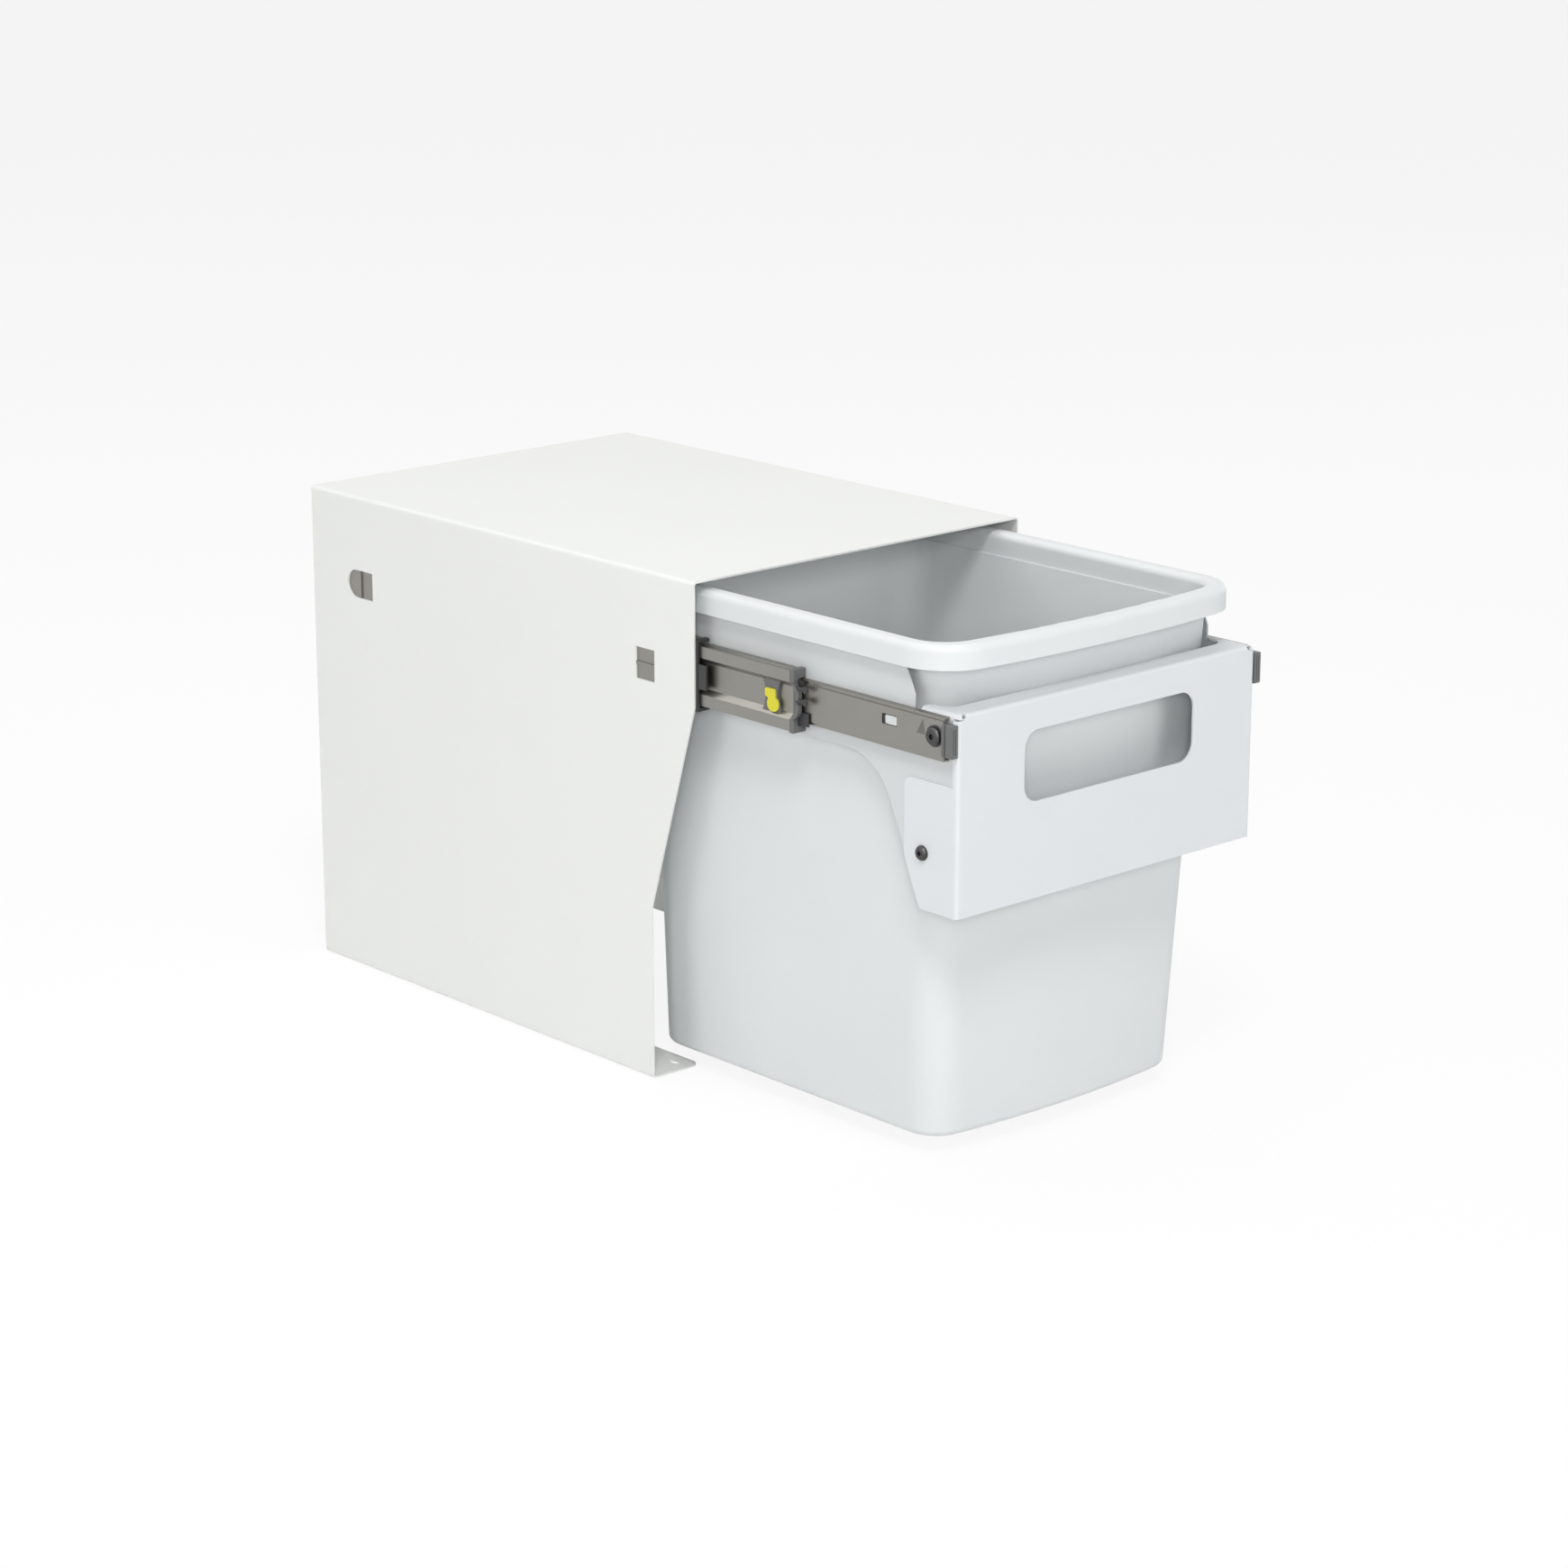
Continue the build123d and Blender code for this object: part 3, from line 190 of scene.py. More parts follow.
class SurfaceGroups:
    """Builds the look of each kind of surface once, as a node group."""

    # Places of the sockets of a Mix node that mixes colours.
    MIX_SHARE: ClassVar[int] = 0
    MIX_BASE: ClassVar[int] = 6
    MIX_OVER: ClassVar[int] = 7
    MIX_RESULT: ClassVar[int] = 2

    def __init__(self) -> None:
        """Starts with no group built."""
        self.built: dict[Surface, bpy.types.NodeTree] = {}

    def get(self, surface: Surface) -> bpy.types.NodeTree:
        """The group for a surface, built at its first use.

        Args:
            surface: the kind of surface.

        Returns:
            The surface's node group.
        """
        if surface not in self.built:
            makers = {
                Surface.COATED: self._coated,
                Surface.MOULDED: self._moulded,
                Surface.ROLLED: self._rolled,
            }
            self.built[surface] = makers[surface](NodeBench(self._blank(surface.value)))
        return self.built[surface]

    def _blank(self, name: str) -> bpy.types.NodeTree:
        """Makes a group with the sockets that all the surfaces share.

        Args:
            name: the group's name.

        Returns:
            The group, still without nodes.
        """
        tree = bpy.data.node_groups.new(name, "ShaderNodeTree")
        face = tree.interface
        face.new_socket("Position", in_out="INPUT", socket_type="NodeSocketVector")
        face.new_socket("Colour", in_out="INPUT", socket_type="NodeSocketColor")
        face.new_socket("Roughness", in_out="INPUT", socket_type="NodeSocketFloat")
        face.new_socket("Colour", in_out="OUTPUT", socket_type="NodeSocketColor")
        face.new_socket("Roughness", in_out="OUTPUT", socket_type="NodeSocketFloat")
        face.new_socket("Normal", in_out="OUTPUT", socket_type="NodeSocketVector")
        return tree

    def _finish(
        self,
        bench: NodeBench,
        feed: bpy.types.Node,
        cloud: bpy.types.Node,
        relief: bpy.types.NodeSocket,
        reach: Reach,
    ) -> bpy.types.NodeTree:
        """Turns a cloud and a relief into the group's outputs.

        Args:
            bench: the group's node bench.
            feed: the group's input node.
            cloud: a noise node that varies the colour and the roughness.
            relief: the height of the fine relief.
            reach: how far the cloud and the relief go.

        Returns:
            The finished group.
        """
        out = bench.add("NodeGroupOutput")
        dark = bench.add("ShaderNodeMix", data_type="RGBA", blend_type="MULTIPLY")
        dark.inputs[self.MIX_SHARE].default_value = reach.shade
        bench.join(feed.outputs["Colour"], dark.inputs[self.MIX_BASE])
        bench.join(cloud.outputs["Fac"], dark.inputs[self.MIX_OVER])
        bench.join(dark.outputs[self.MIX_RESULT], out.inputs["Colour"])
        rough = bench.math(
            "MULTIPLY_ADD", cloud.outputs["Fac"], reach.spread, feed.outputs["Roughness"]
        )
        bench.join(rough, out.inputs["Roughness"])
        bump = bench.add("ShaderNodeBump", Strength=1.0, Distance=reach.depth)
        bench.join(relief, bump.inputs["Height"])
        bench.join(bump.outputs["Normal"], out.inputs["Normal"])
        return bench.tree

    def _coated(self, bench: NodeBench) -> bpy.types.NodeTree:
        """Powder coat: a soft orange peel under a faint cloud.

        Args:
            bench: the group's node bench.

        Returns:
            The finished group.
        """
        feed = bench.add("NodeGroupInput")
        cloud = bench.add("ShaderNodeTexNoise", Scale=9.0, Detail=3.0, Roughness=0.5)
        peel = bench.add("ShaderNodeTexNoise", Scale=650.0, Detail=2.0, Roughness=0.45)
        for texture in (cloud, peel):
            bench.join(feed.outputs["Position"], texture.inputs["Vector"])
        reach = Reach(shade=0.03, depth=0.012 * MM, spread=0.05)
        return self._finish(bench, feed, cloud, peel.outputs["Fac"], reach)

    def _moulded(self, bench: NodeBench) -> bpy.types.NodeTree:
        """Moulded plastic: the fine grain of a spark-eroded mould.

        Args:
            bench: the group's node bench.

        Returns:
            The finished group.
        """
        feed = bench.add("NodeGroupInput")
        cloud = bench.add("ShaderNodeTexNoise", Scale=14.0, Detail=2.0, Roughness=0.5)
        grain = bench.add("ShaderNodeTexVoronoi", Scale=900.0, Randomness=1.0)
        for texture in (cloud, grain):
            bench.join(feed.outputs["Position"], texture.inputs["Vector"])
        reach = Reach(shade=0.04, depth=0.008 * MM, spread=0.08)
        return self._finish(bench, feed, cloud, grain.outputs["Distance"], reach)

    def _rolled(self, bench: NodeBench) -> bpy.types.NodeTree:
        """Rolled zinc: streaks along the slide over a mottled plating.

        Args:
            bench: the group's node bench.

        Returns:
            The finished group.
        """
        feed = bench.add("NodeGroupInput")
        along_slide = bench.add("ShaderNodeMapping", Scale=(1.0, 0.03, 1.0))
        streak = bench.add("ShaderNodeTexNoise", Scale=1500.0, Detail=3.0, Roughness=0.6)
        cloud = bench.add("ShaderNodeTexNoise", Scale=60.0, Detail=4.0, Roughness=0.6)
        for stage in (along_slide, cloud):
            bench.join(feed.outputs["Position"], stage.inputs["Vector"])
        bench.join(along_slide.outputs["Vector"], streak.inputs["Vector"])
        reach = Reach(shade=0.10, depth=0.005 * MM, spread=0.14)
        return self._finish(bench, feed, cloud, streak.outputs["Fac"], reach)


@dataclass(frozen=True)
class Finish:
    """One material of the cabinet."""

    name: str
    tone: Tone
    surface: Surface
    roughness: float
    metallic: float = 0.0

    groups: ClassVar[SurfaceGroups] = SurfaceGroups()
    made: ClassVar[dict[str, bpy.types.Material]] = {}

    def material(self) -> bpy.types.Material:
        """Gives the material, made at its first use.

        Returns:
            The finish's one material.
        """
        if self.name not in self.made:
            self.made[self.name] = self._make()
        return self.made[self.name]

    def _make(self) -> bpy.types.Material:
        """Builds the material's nodes.

        Returns:
            The new material.
        """
        material = bpy.data.materials.new(f"{self.name}_finish")
        material.use_nodes = True
        material.node_tree.nodes.clear()
        bench = NodeBench(material.node_tree)
        place = bench.add("ShaderNodeTexCoord")
        group = bench.add("ShaderNodeGroup")
        group.node_tree = self.groups.get(self.surface)
        group.inputs["Colour"].default_value = self.tone.linear()
        group.inputs["Roughness"].default_value = self.roughness
        shader = bench.add("ShaderNodeBsdfPrincipled", Metallic=self.metallic)
        out = bench.add("ShaderNodeOutputMaterial")
        bench.join(place.outputs["Object"], group.inputs["Position"])
        bench.join(group.outputs["Colour"], shader.inputs["Base Color"])
        bench.join(group.outputs["Roughness"], shader.inputs["Roughness"])
        bench.join(group.outputs["Normal"], shader.inputs["Normal"])
        bench.join(shader.outputs["BSDF"], out.inputs["Surface"])
        return material

    def dress(self, piece: bpy.types.Object) -> None:
        """Puts this finish on the whole of a piece."""
        piece.data.materials.clear()
        piece.data.materials.append(self.material())


HOUSING_PAINT = Finish("housing_paint", Tone(230, 231, 229), Surface.COATED, 0.42)
FRAME_PAINT = Finish("frame_paint", Tone(217, 220, 222), Surface.COATED, 0.42)
# A darker copy of the frame's white powder coat: the darkening is painted shade for the side arms
# and the rear rail, which sit beside and behind the bin.
SHADED_ARM_PAINT = Finish("shaded_arm_paint", Tone(206, 209, 210), Surface.COATED, 0.42)
BIN_PLASTIC = Finish("bin_plastic", Tone(219, 222, 223), Surface.MOULDED, 0.40)
BLACK_PLASTIC = Finish("black_plastic", Tone(45, 45, 47), Surface.MOULDED, 0.40)
GREY_PLASTIC = Finish("grey_plastic", Tone(100, 101, 100), Surface.MOULDED, 0.45)
LEVER_PLASTIC = Finish("lever_plastic", Tone(213, 205, 42), Surface.MOULDED, 0.35)
SLIDE_STEEL = Finish("slide_steel", Tone(151, 149, 143), Surface.ROLLED, 0.34, metallic=1.0)
CAGE_STEEL = Finish("cage_steel", Tone(165, 162, 155), Surface.ROLLED, 0.30, metallic=1.0)
BALL_STEEL = Finish("ball_steel", Tone(205, 205, 205), Surface.ROLLED, 0.06, metallic=1.0)
STAMPED_STEEL = Finish("stamped_steel", Tone(122, 121, 118), Surface.ROLLED, 0.34, metallic=1.0)
SCREW_STEEL = Finish("screw_steel", Tone(84, 84, 84), Surface.ROLLED, 0.28, metallic=1.0)


def clear_selection() -> None:
    """Deselects every object."""
    bpy.ops.object.select_all(action="DESELECT")


def take(piece: bpy.types.Object) -> None:
    """Makes a piece the only one that is selected, and the active one.

    Args:
        piece: the piece.
    """
    clear_selection()
    piece.select_set(True)
    bpy.context.view_layer.objects.active = piece


def settle(piece: bpy.types.Object) -> None:
    """Puts a piece's place, turn and scale into its mesh."""
    take(piece)
    bpy.ops.object.transform_apply(location=True, rotation=True, scale=True)


def open_at_faces(
    piece: bpy.types.Object, wanted: Callable[[bpy.types.MeshPolygon], bool]
) -> None:
    """Opens a piece in edit mode with only some of its faces selected.

    Args:
        piece: the piece.
        wanted: tells whether a face is to be selected.
    """
    take(piece)
    bpy.ops.object.mode_set(mode="EDIT")
    bpy.ops.mesh.select_mode(type="FACE")
    bpy.ops.mesh.select_all(action="DESELECT")
    bpy.ops.object.mode_set(mode="OBJECT")
    for face in piece.data.polygons:
        face.select = wanted(face)
    bpy.ops.object.mode_set(mode="EDIT")


def turn_faces_out(piece: bpy.types.Object) -> None:
    """Makes all the faces of a closed piece look outwards.

    Args:
        piece: the piece.
    """
    take(piece)
    bpy.ops.object.mode_set(mode="EDIT")
    bpy.ops.mesh.select_all(action="SELECT")
    bpy.ops.mesh.normals_make_consistent(inside=False)
    bpy.ops.object.mode_set(mode="OBJECT")


def bevel_edges(piece: bpy.types.Object, width: float, segments: int) -> None:
    """Rounds the sharp edges of a piece.

    Args:
        piece: the piece.
        width: the width of the rounding.
        segments: how many faces the rounding has.
    """
    take(piece)
    rounding = piece.modifiers.new("edges", "BEVEL")
    rounding.width = width
    rounding.segments = segments
    rounding.limit_method = "ANGLE"
    bpy.ops.object.modifier_apply(modifier=rounding.name)


def unite(piece: bpy.types.Object, part: bpy.types.Object) -> None:
    """Grows a piece by a part, and drops the part.

    Args:
        piece: the piece that stays.
        part: the part that is taken up.
    """
    take(piece)
    union = piece.modifiers.new("union", "BOOLEAN")
    union.operation = "UNION"
    union.solver = "EXACT"
    union.object = part
    bpy.ops.object.modifier_apply(modifier=union.name)
    bpy.data.objects.remove(part)


def copied(piece: bpy.types.Object) -> bpy.types.Object:
    """Copies a piece, with a mesh of its own.

    Args:
        piece: the piece, which rides on nothing yet.

    Returns:
        The copy, in the same place.
    """
    twin = piece.copy()
    twin.data = piece.data.copy()
    bpy.context.collection.objects.link(twin)
    return twin


def mirrored(piece: bpy.types.Object) -> bpy.types.Object:
    """Copies a left-hand piece to the right-hand side.

    Args:
        piece: the left-hand piece, which rides on nothing yet.

    Returns:
        The right-hand piece, with its faces outwards.
    """
    twin = copied(piece)
    twin.scale.x = -1.0
    settle(twin)
    turn_faces_out(twin)
    return twin


@dataclass
class DirectionMark:
    """The small stamped triangle on the inner member, behind the slide's screw.

    The lean is how far its tip stands forward of the middle of its base.
    """

    width: float = 7.0 * MM
    height: float = 9.2 * MM
    relief: float = 0.15 * MM
    lean: float = 1.95 * MM
    gap_behind_screw: float = 2.1 * MM
    rise: float = 2.2 * MM
    edge: float = 0.05 * MM

    def model(self) -> bpy.types.Object:
        """Models the left-hand mark in its place.

        Returns:
            The mark, which rides on nothing yet.
        """
        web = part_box("inner_member_left")[0][0]
        screw_low, screw_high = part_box("slide_screw_left")
        middle_y = screw_high[1] + self.gap_behind_screw + self.width / 2
        middle_z = (screw_low[2] + screw_high[2]) / 2 + self.rise
        clear_selection()
        bpy.ops.mesh.primitive_cylinder_add(
            vertices=3,
            radius=1.0,
            depth=self.relief,
            location=(web - self.relief / 2, middle_y, middle_z),
            rotation=(radians(90), 0.0, radians(90)),
        )
        mark = bpy.context.object
        bpy.ops.object.transform_apply(location=False, rotation=True, scale=True)
        # A triangle in a circle of radius 1 is sqrt(3) wide and 1.5 high.
        bpy.ops.object.mode_set(mode="EDIT")
        bpy.ops.mesh.select_all(action="SELECT")
        bpy.ops.transform.resize(
            value=(1.0, self.width / sqrt(3), self.height / 1.5),
            center_override=mark.location,
        )
        bpy.ops.mesh.select_mode(type="VERT")
        bpy.ops.mesh.select_all(action="DESELECT")
        bpy.ops.object.mode_set(mode="OBJECT")
        tip = max(corner.co.z for corner in mark.data.vertices)
        for corner in mark.data.vertices:
            corner.select = corner.co.z > tip - TOUCH
        bpy.ops.object.mode_set(mode="EDIT")
        bpy.ops.transform.translate(value=(0.0, -self.lean, 0.0))
        bpy.ops.object.mode_set(mode="OBJECT")
        settle(mark)
        bevel_edges(mark, self.edge, segments=1)
        return mark


@dataclass(frozen=True)
class Tab:
    """A tongue of the black shade plate, between two heights over the slide's middle."""

    low: float
    high: float
    length: float


@dataclass
class RecessShadePlate:
    """A black plate behind the claws of a middle cap, with two tabs and two round lobes. It is
    painted shade: its black darkens the recess between the claws, where shade falls.

    Heights count from the middle of the slide, the gaps across it from the inner member's web.
    """

    web_gap: float = 0.5 * MM
    member_gap: float = 4.0 * MM
    thickness: float = 1.1 * MM
    depth: float = 2.4 * MM
    below_middle: float = 15.6 * MM
    above_middle: float = 14.0 * MM
    plate_edge: float = 0.3 * MM
    tabs: tuple[Tab, Tab] = (
        Tab(-15.0 * MM, -6.4 * MM, 9.4 * MM),
        Tab(9.1 * MM, 13.4 * MM, 5.0 * MM),
    )
    tab_edge: float = 0.25 * MM
    lobe_gap: float = 3.7 * MM
    lobe_thickness: float = 1.2 * MM
    lobe_radius: float = 2.3 * MM
    lobe_reach: float = 7.0 * MM
    lobe_rise: float = 1.2 * MM
    lobe_pitch: float = 8.0 * MM
    lobe_edge: float = 0.25 * MM
    lobe_sides: int = 32
    stem_height: float = 2.4 * MM
    stem_overlap: float = 0.2 * MM
    stem_edge: float = 0.2 * MM
    middle: float = field(init=False)
    back: float = field(init=False)
    front: float = field(init=False)
    inner_face: float = field(init=False)
    outer_face: float = field(init=False)
    lobe_inner_face: float = field(init=False)
    lobe_outer_face: float = field(init=False)

    def __post_init__(self) -> None:
        """Works out the plate's place from the left slide's members."""
        member_low, member_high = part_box("middle_member_left")
        web = abs(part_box("inner_member_left")[0][0])
        self.middle = (member_low[2] + member_high[2]) / 2
        self.back = member_low[1] - self.member_gap
        self.front = self.back - self.depth
        self.inner_face = web + self.web_gap
        self.outer_face = self.inner_face + self.thickness
        self.lobe_inner_face = web + self.lobe_gap
        self.lobe_outer_face = self.lobe_inner_face + self.lobe_thickness

    def model(self) -> bpy.types.Object:
        """Models the left-hand black plate of painted shade in its place.

        Returns:
            The plate, which rides on nothing yet.
        """
        across = (self.inner_face, self.outer_face)
        shade_plate = self._block(
            across, (self.front, self.back), (-self.below_middle, self.above_middle)
        )
        bevel_edges(shade_plate, self.plate_edge, segments=2)
        for tab in self.tabs:
            unite(shade_plate, self._tab(tab))
        low_parts = (self._stem(), self._lobe())
        high_parts = tuple(copied(part) for part in low_parts)
        for part in high_parts:
            part.location.z += self.lobe_pitch
            settle(part)
        for part in (*low_parts, *high_parts):
            unite(shade_plate, part)
        return shade_plate

    def _block(
        self,
        across: tuple[float, float],
        along: tuple[float, float],
        heights: tuple[float, float],
    ) -> bpy.types.Object:
        """Adds a block on the left-hand side of the cabinet.

        Args:
            across: distances of the inner and the outer face from the middle plane.
            along: the lowest and the highest Y.
            heights: the bottom and the top, from the middle of the slide.

        Returns:
            The block, with its place in its mesh.
        """
        clear_selection()
        bpy.ops.mesh.primitive_cube_add(
            size=1.0,
            location=(-sum(across) / 2, sum(along) / 2, self.middle + sum(heights) / 2),
            scale=tuple(high - low for low, high in (across, along, heights)),
        )
        block = bpy.context.object
        settle(block)
        return block

    def _tab(self, tab: Tab) -> bpy.types.Object:
        """Models a tab, with its rear face drawn back into the shade plate.

        Args:
            tab: the tab's sizes.

        Returns:
            The tab, still apart from the plate.
        """
        piece = self._block(
            (self.inner_face, self.outer_face),
            (self.back - tab.length, self.front),
            (tab.low, tab.high),
        )
        bevel_edges(piece, self.tab_edge, segments=2)
        rear = self.front - TOUCH
        open_at_faces(piece, lambda face: face.normal.y > FACING and face.center.y > rear)
        bpy.ops.transform.translate(value=(0.0, self.depth / 2, 0.0))
        bpy.ops.object.mode_set(mode="OBJECT")
        return piece

    def _stem(self) -> bpy.types.Object:
        """Models the lower lobe's stem: out from the plate, then forward.

        Returns:
            The stem, still apart from the plate.
        """
        stem = self._block(
            (self.outer_face - self.stem_overlap, self.lobe_outer_face),
            (self.front, self.front + self.lobe_thickness),
            (self.lobe_rise - self.stem_height / 2, self.lobe_rise + self.stem_height / 2),
        )
        bend = -self.lobe_inner_face
        open_at_faces(stem, lambda face: True)
        bpy.ops.mesh.bisect(plane_co=(bend, 0.0, 0.0), plane_no=(1.0, 0.0, 0.0))
        bpy.ops.object.mode_set(mode="OBJECT")
        open_at_faces(stem, lambda face: face.center.x < bend and face.normal.y < -FACING)
        bpy.ops.mesh.extrude_region_move(
            TRANSFORM_OT_translate={"value": (0.0, -self.lobe_reach, 0.0)}
        )
        bpy.ops.object.mode_set(mode="OBJECT")
        turn_faces_out(stem)
        bevel_edges(stem, self.stem_edge, segments=1)
        return stem

    def _lobe(self) -> bpy.types.Object:
        """Models the lower lobe, a thick disc with rounded edges.

        Returns:
            The lobe, still apart from the plate.
        """
        clear_selection()
        bpy.ops.mesh.primitive_cylinder_add(
            vertices=self.lobe_sides,
            radius=self.lobe_radius,
            depth=self.lobe_thickness,
            location=(
                -(self.lobe_inner_face + self.lobe_outer_face) / 2,
                self.front - self.lobe_reach,
                self.middle + self.lobe_rise,
            ),
            rotation=(0.0, radians(90), 0.0),
        )
        lobe = bpy.context.object
        settle(lobe)
        bevel_edges(lobe, self.lobe_edge, segments=2)
        return lobe


class SubAssembly:
    """Pieces of the cabinet that belong together, with their finishes."""

    finishes: ClassVar[dict[str, Finish]]

    def dress(self) -> set[str]:
        """Gives each CAD piece of the sub-assembly its finish.

        Returns:
            The names of the pieces.
        """
        done = set()
        for name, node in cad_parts.items():
            kind = name.removesuffix("_left").removesuffix("_right")
            if kind in self.finishes:
                self.finishes[kind].dress(node)
                done.add(name)
                LOG.info("dressed %s", name)
        return done

    def build(self) -> None:
        """Models the pieces that the CAD model doesn't have, where there are any."""


class Housing(SubAssembly):
    """The folded housing that is screwed to the cupboard's floor."""

    finishes = {"housing_shell": HOUSING_PAINT}


class DrawerFrame(SubAssembly):
    """The front plate, the side arms and the rear rail, with what holds them together."""

    finishes = {
        "front_plate": FRAME_PAINT,
        "side_arm": SHADED_ARM_PAINT,
        "rear_rail": SHADED_ARM_PAINT,
        "plate_screw": SCREW_STEEL,
        "plate_nut": SCREW_STEEL,
        "rail_rivet": SCREW_STEEL,
    }


class WasteBin(SubAssembly):
    """The moulded bin that hangs in the drawer frame."""

    finishes = {"bin": BIN_PLASTIC}


@dataclass
class Slides(SubAssembly):
    """Both telescopic slides, with their latches and what holds them to the frame."""

    mark: DirectionMark = field(default_factory=DirectionMark)
    # A black plate that paints the shade in the recess behind the middle cap's claws.
    recess_shade: RecessShadePlate = field(default_factory=RecessShadePlate)

    finishes: ClassVar[dict[str, Finish]] = {
        "outer_member": SLIDE_STEEL,
        "middle_member": SLIDE_STEEL,
        "inner_member": SLIDE_STEEL,
        "outer_ball_cage": CAGE_STEEL,
        "inner_ball_cage": CAGE_STEEL,
        "outer_balls": BALL_STEEL,
        "inner_balls": BALL_STEEL,
        "outer_end_cap": BLACK_PLASTIC,
        "middle_end_cap": GREY_PLASTIC,
        "rear_bumper": BLACK_PLASTIC,
        "inner_end_stop": GREY_PLASTIC,
        "latch_bracket": GREY_PLASTIC,
        "release_lever": LEVER_PLASTIC,
        "lever_pin": SCREW_STEEL,
        "slide_screw": SCREW_STEEL,
        "slide_nut": SCREW_STEEL,
        "slide_rivet": SCREW_STEEL,
        "spacer_bush": SCREW_STEEL,
    }

    def build(self) -> None:
        """Models the small parts once, and fits them to both slides."""
        mark, shade_plate = self.mark.model(), self.recess_shade.model()
        right_mark, right_shade_plate = mirrored(mark), mirrored(shade_plate)
        self._fit(Side.LEFT, mark, shade_plate)
        self._fit(Side.RIGHT, right_mark, right_shade_plate)

    def _fit(self, side: Side, mark: bpy.types.Object, shade_plate: bpy.types.Object) -> None:
        """Names and dresses the small parts of one slide, and lets them ride on it.

        Args:
            side: the slide's side.
            mark: its direction mark.
            shade_plate: its black plate of painted shade in the cap's recess.
        """
        mark.name = mark.data.name = f"direction_mark_{side.value}"
        STAMPED_STEEL.dress(mark)
        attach(mark, "drawer")
        # The plate's black is painted shade for the recess behind the cap's claws.
        shade_plate.name = shade_plate.data.name = f"cap_retainer_{side.value}"
        BLACK_PLASTIC.dress(shade_plate)
        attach(shade_plate, f"middle_{side.value}")
        for piece in (mark, shade_plate):
            LOG.info("made %s", piece.name)


@dataclass
class Camera:
    """The camera of the photograph."""

    azimuth: float = -42.2674
    elevation: float = 15.8903
    place: tuple[float, float, float] = (-1.758912, -1.951239, 0.910599)
    lens: float = 93.051
    sensor_width: float = 36.0
    far_limit: float = 50.0

    def build(self) -> None:
        """Adds the camera and makes it the scene's own."""
        bpy.ops.object.camera_add(
            location=self.place,
            rotation=(radians(90 - self.elevation), 0.0, radians(self.azimuth)),
        )
        camera = bpy.context.object
        camera.name = "photo_camera"
        camera.data.lens = self.lens
        camera.data.sensor_width = self.sensor_width
        camera.data.clip_end = self.far_limit
        bpy.context.scene.camera = camera


@dataclass(frozen=True)
class Softbox:
    """One square lamp that looks at a point, by default close to the cabinet's middle."""

    name: str
    place: tuple[float, float, float]
    size: float
    power: float
    target: tuple[float, float, float] = (0.0, 0.0, 0.15)
    tone: tuple[float, float, float] = (1.0, 1.0, 1.0)

    def build(self) -> None:
        """Adds the lamp."""
        bpy.ops.object.light_add(type="AREA", location=self.place)
        lamp = bpy.context.object
        lamp.name = self.name
        lamp.data.size = self.size
        lamp.data.energy = self.power
        lamp.data.color = self.tone
        aim = Vector(self.target) - Vector(self.place)
        lamp.rotation_euler = aim.to_track_quat("-Z", "Y").to_euler()


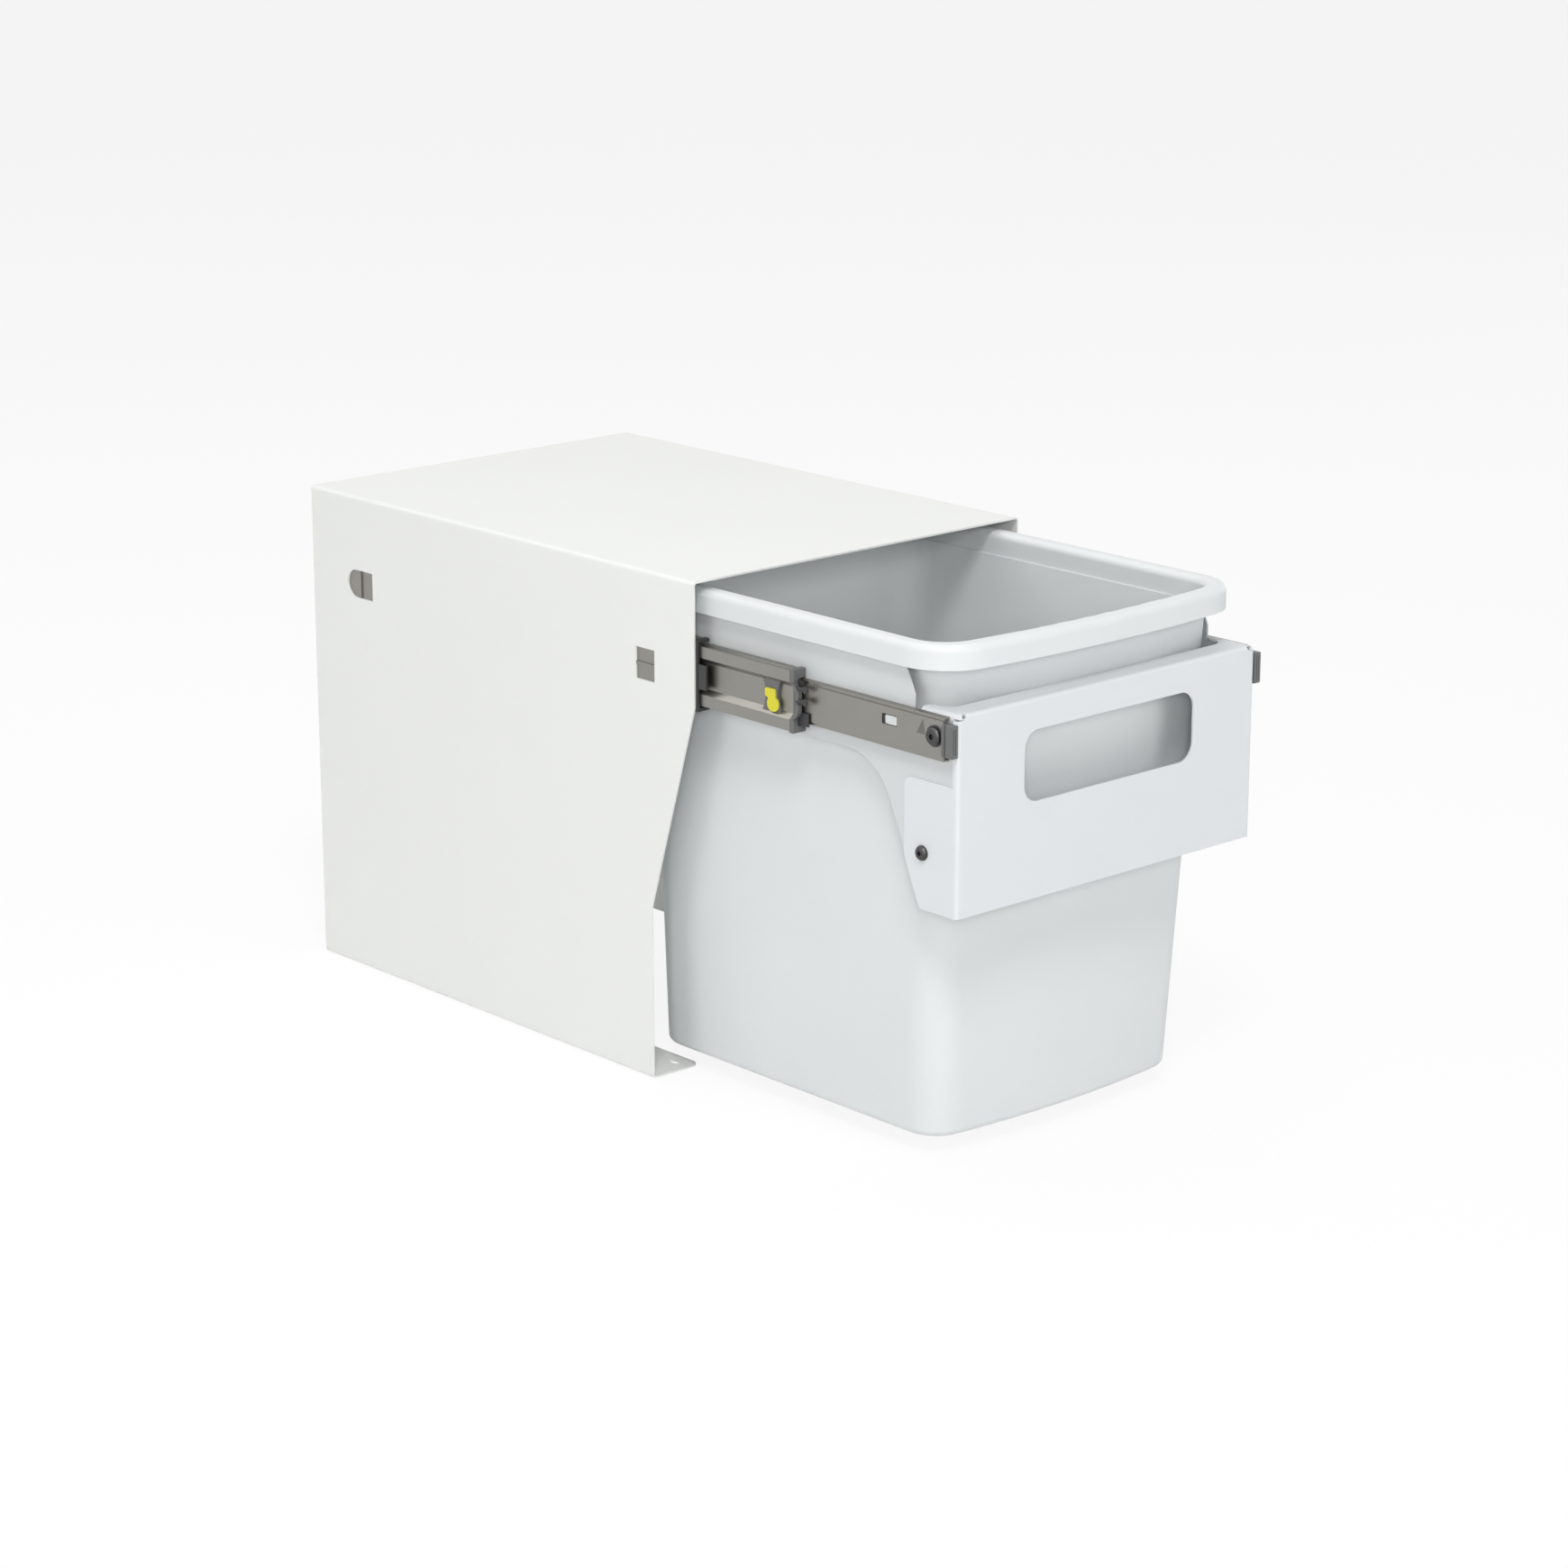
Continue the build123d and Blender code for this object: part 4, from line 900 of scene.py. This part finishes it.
@dataclass
class Studio:
    """Pale floor, white surroundings and soft lamps."""

    floor_size: float = 40.0
    floor_drop: float = 0.5 * MM
    floor_tone: tuple[float, float, float, float] = (0.92, 0.92, 0.92, 1.0)
    floor_glow: float = 0.88
    white: float = 1.0
    ambient: float = 0.2
    ambient_tone: tuple[float, float, float, float] = (0.97, 0.99, 1.0, 1.0)
    lamps: tuple[Softbox, ...] = (
        Softbox(
            "top_box", (0.3, 0.6, 2.6), 1.8, 21.5, target=(0.0, 0.0, 0.2), tone=(1.0, 1.0, 0.96)
        ),
        Softbox("left_box", (-3.2, 0.4, 1.2), 1.6, 17.4),
        Softbox("front_box", (0.6, -3.2, 1.2), 1.6, 21.6),
        Softbox("key_box", (-2.9, -3.2, 1.6), 0.9, 47.0),
        Softbox("high_box", (-1.2, -1.4, 2.6), 0.8, 38.0),
        Softbox("rear_box", (-0.4, 4.2, 0.5), 1.6, 18.0),
        Softbox("right_box", (3.6, 0.5, 0.7), 1.6, 9.0),
        Softbox("slide_box", (-0.85, 1.7, 2.0), 0.7, 5.0, target=(-0.13, -0.1, 0.28)),
    )

    def build(self) -> None:
        """Builds the floor, the world and the lamps."""
        self._floor()
        self._world()
        for lamp in self.lamps:
            lamp.build()
            LOG.info("placed %s", lamp.name)

    def _seen(self, bench: NodeBench) -> bpy.types.NodeSocket:
        """Tells what is seen, mirrored or looked through from what only lights.

        Args:
            bench: the bench of the floor's material or of the world.

        Returns:
            A value that is 1 for camera, glossy and transmission rays, and else 0.
        """
        path = bench.add("ShaderNodeLightPath")
        seen = path.outputs["Is Camera Ray"]
        for ray in ("Is Glossy Ray", "Is Transmission Ray"):
            seen = bench.math("MAXIMUM", seen, path.outputs[ray])
        return seen

    def _floor(self) -> None:
        """A pale floor that is seen as nearly white and keeps the object's shadow."""
        clear_selection()
        bpy.ops.mesh.primitive_plane_add(
            size=self.floor_size, location=(0.0, 0.0, -self.floor_drop)
        )
        floor = bpy.context.object
        floor.name = "studio_floor"
        material = bpy.data.materials.new("studio_floor")
        material.use_nodes = True
        material.node_tree.nodes.clear()
        bench = NodeBench(material.node_tree)
        pale = bench.add("ShaderNodeBsdfDiffuse", Color=self.floor_tone)
        glow = bench.add("ShaderNodeEmission", Strength=self.white)
        share = bench.math("MULTIPLY", self._seen(bench), self.floor_glow)
        look = bench.blend(share, pale.outputs["BSDF"], glow.outputs["Emission"])
        out = bench.add("ShaderNodeOutputMaterial")
        bench.join(look, out.inputs["Surface"])
        floor.data.materials.append(material)

    def _world(self) -> None:
        """Surroundings that are white to look at and soft as a light."""
        world = bpy.data.worlds.new("studio")
        bpy.context.scene.world = world
        world.use_nodes = True
        world.node_tree.nodes.clear()
        bench = NodeBench(world.node_tree)
        soft, plain = (
            bench.add("ShaderNodeBackground", Strength=strength, Color=tone).outputs["Background"]
            for strength, tone in ((self.ambient, self.ambient_tone), (self.white, WHITE))
        )
        out = bench.add("ShaderNodeOutputWorld")
        bench.join(bench.blend(self._seen(bench), soft, plain), out.inputs["Surface"])


def main() -> None:
    """Dresses the cabinet, adds its small parts, and sets up the studio and the camera."""
    logging.basicConfig(level=logging.INFO)
    bpy.context.scene.view_settings.view_transform = "Standard"
    dressed: set[str] = set()
    for part in (Housing(), DrawerFrame(), WasteBin(), Slides()):
        dressed |= part.dress()
        part.build()
        LOG.info("built %s", type(part).__name__)
    for name in sorted(set(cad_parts) - dressed):
        LOG.warning("no finish for %s", name)
    Studio().build()
    Camera().build()


if __name__ == "__main__":
    main()
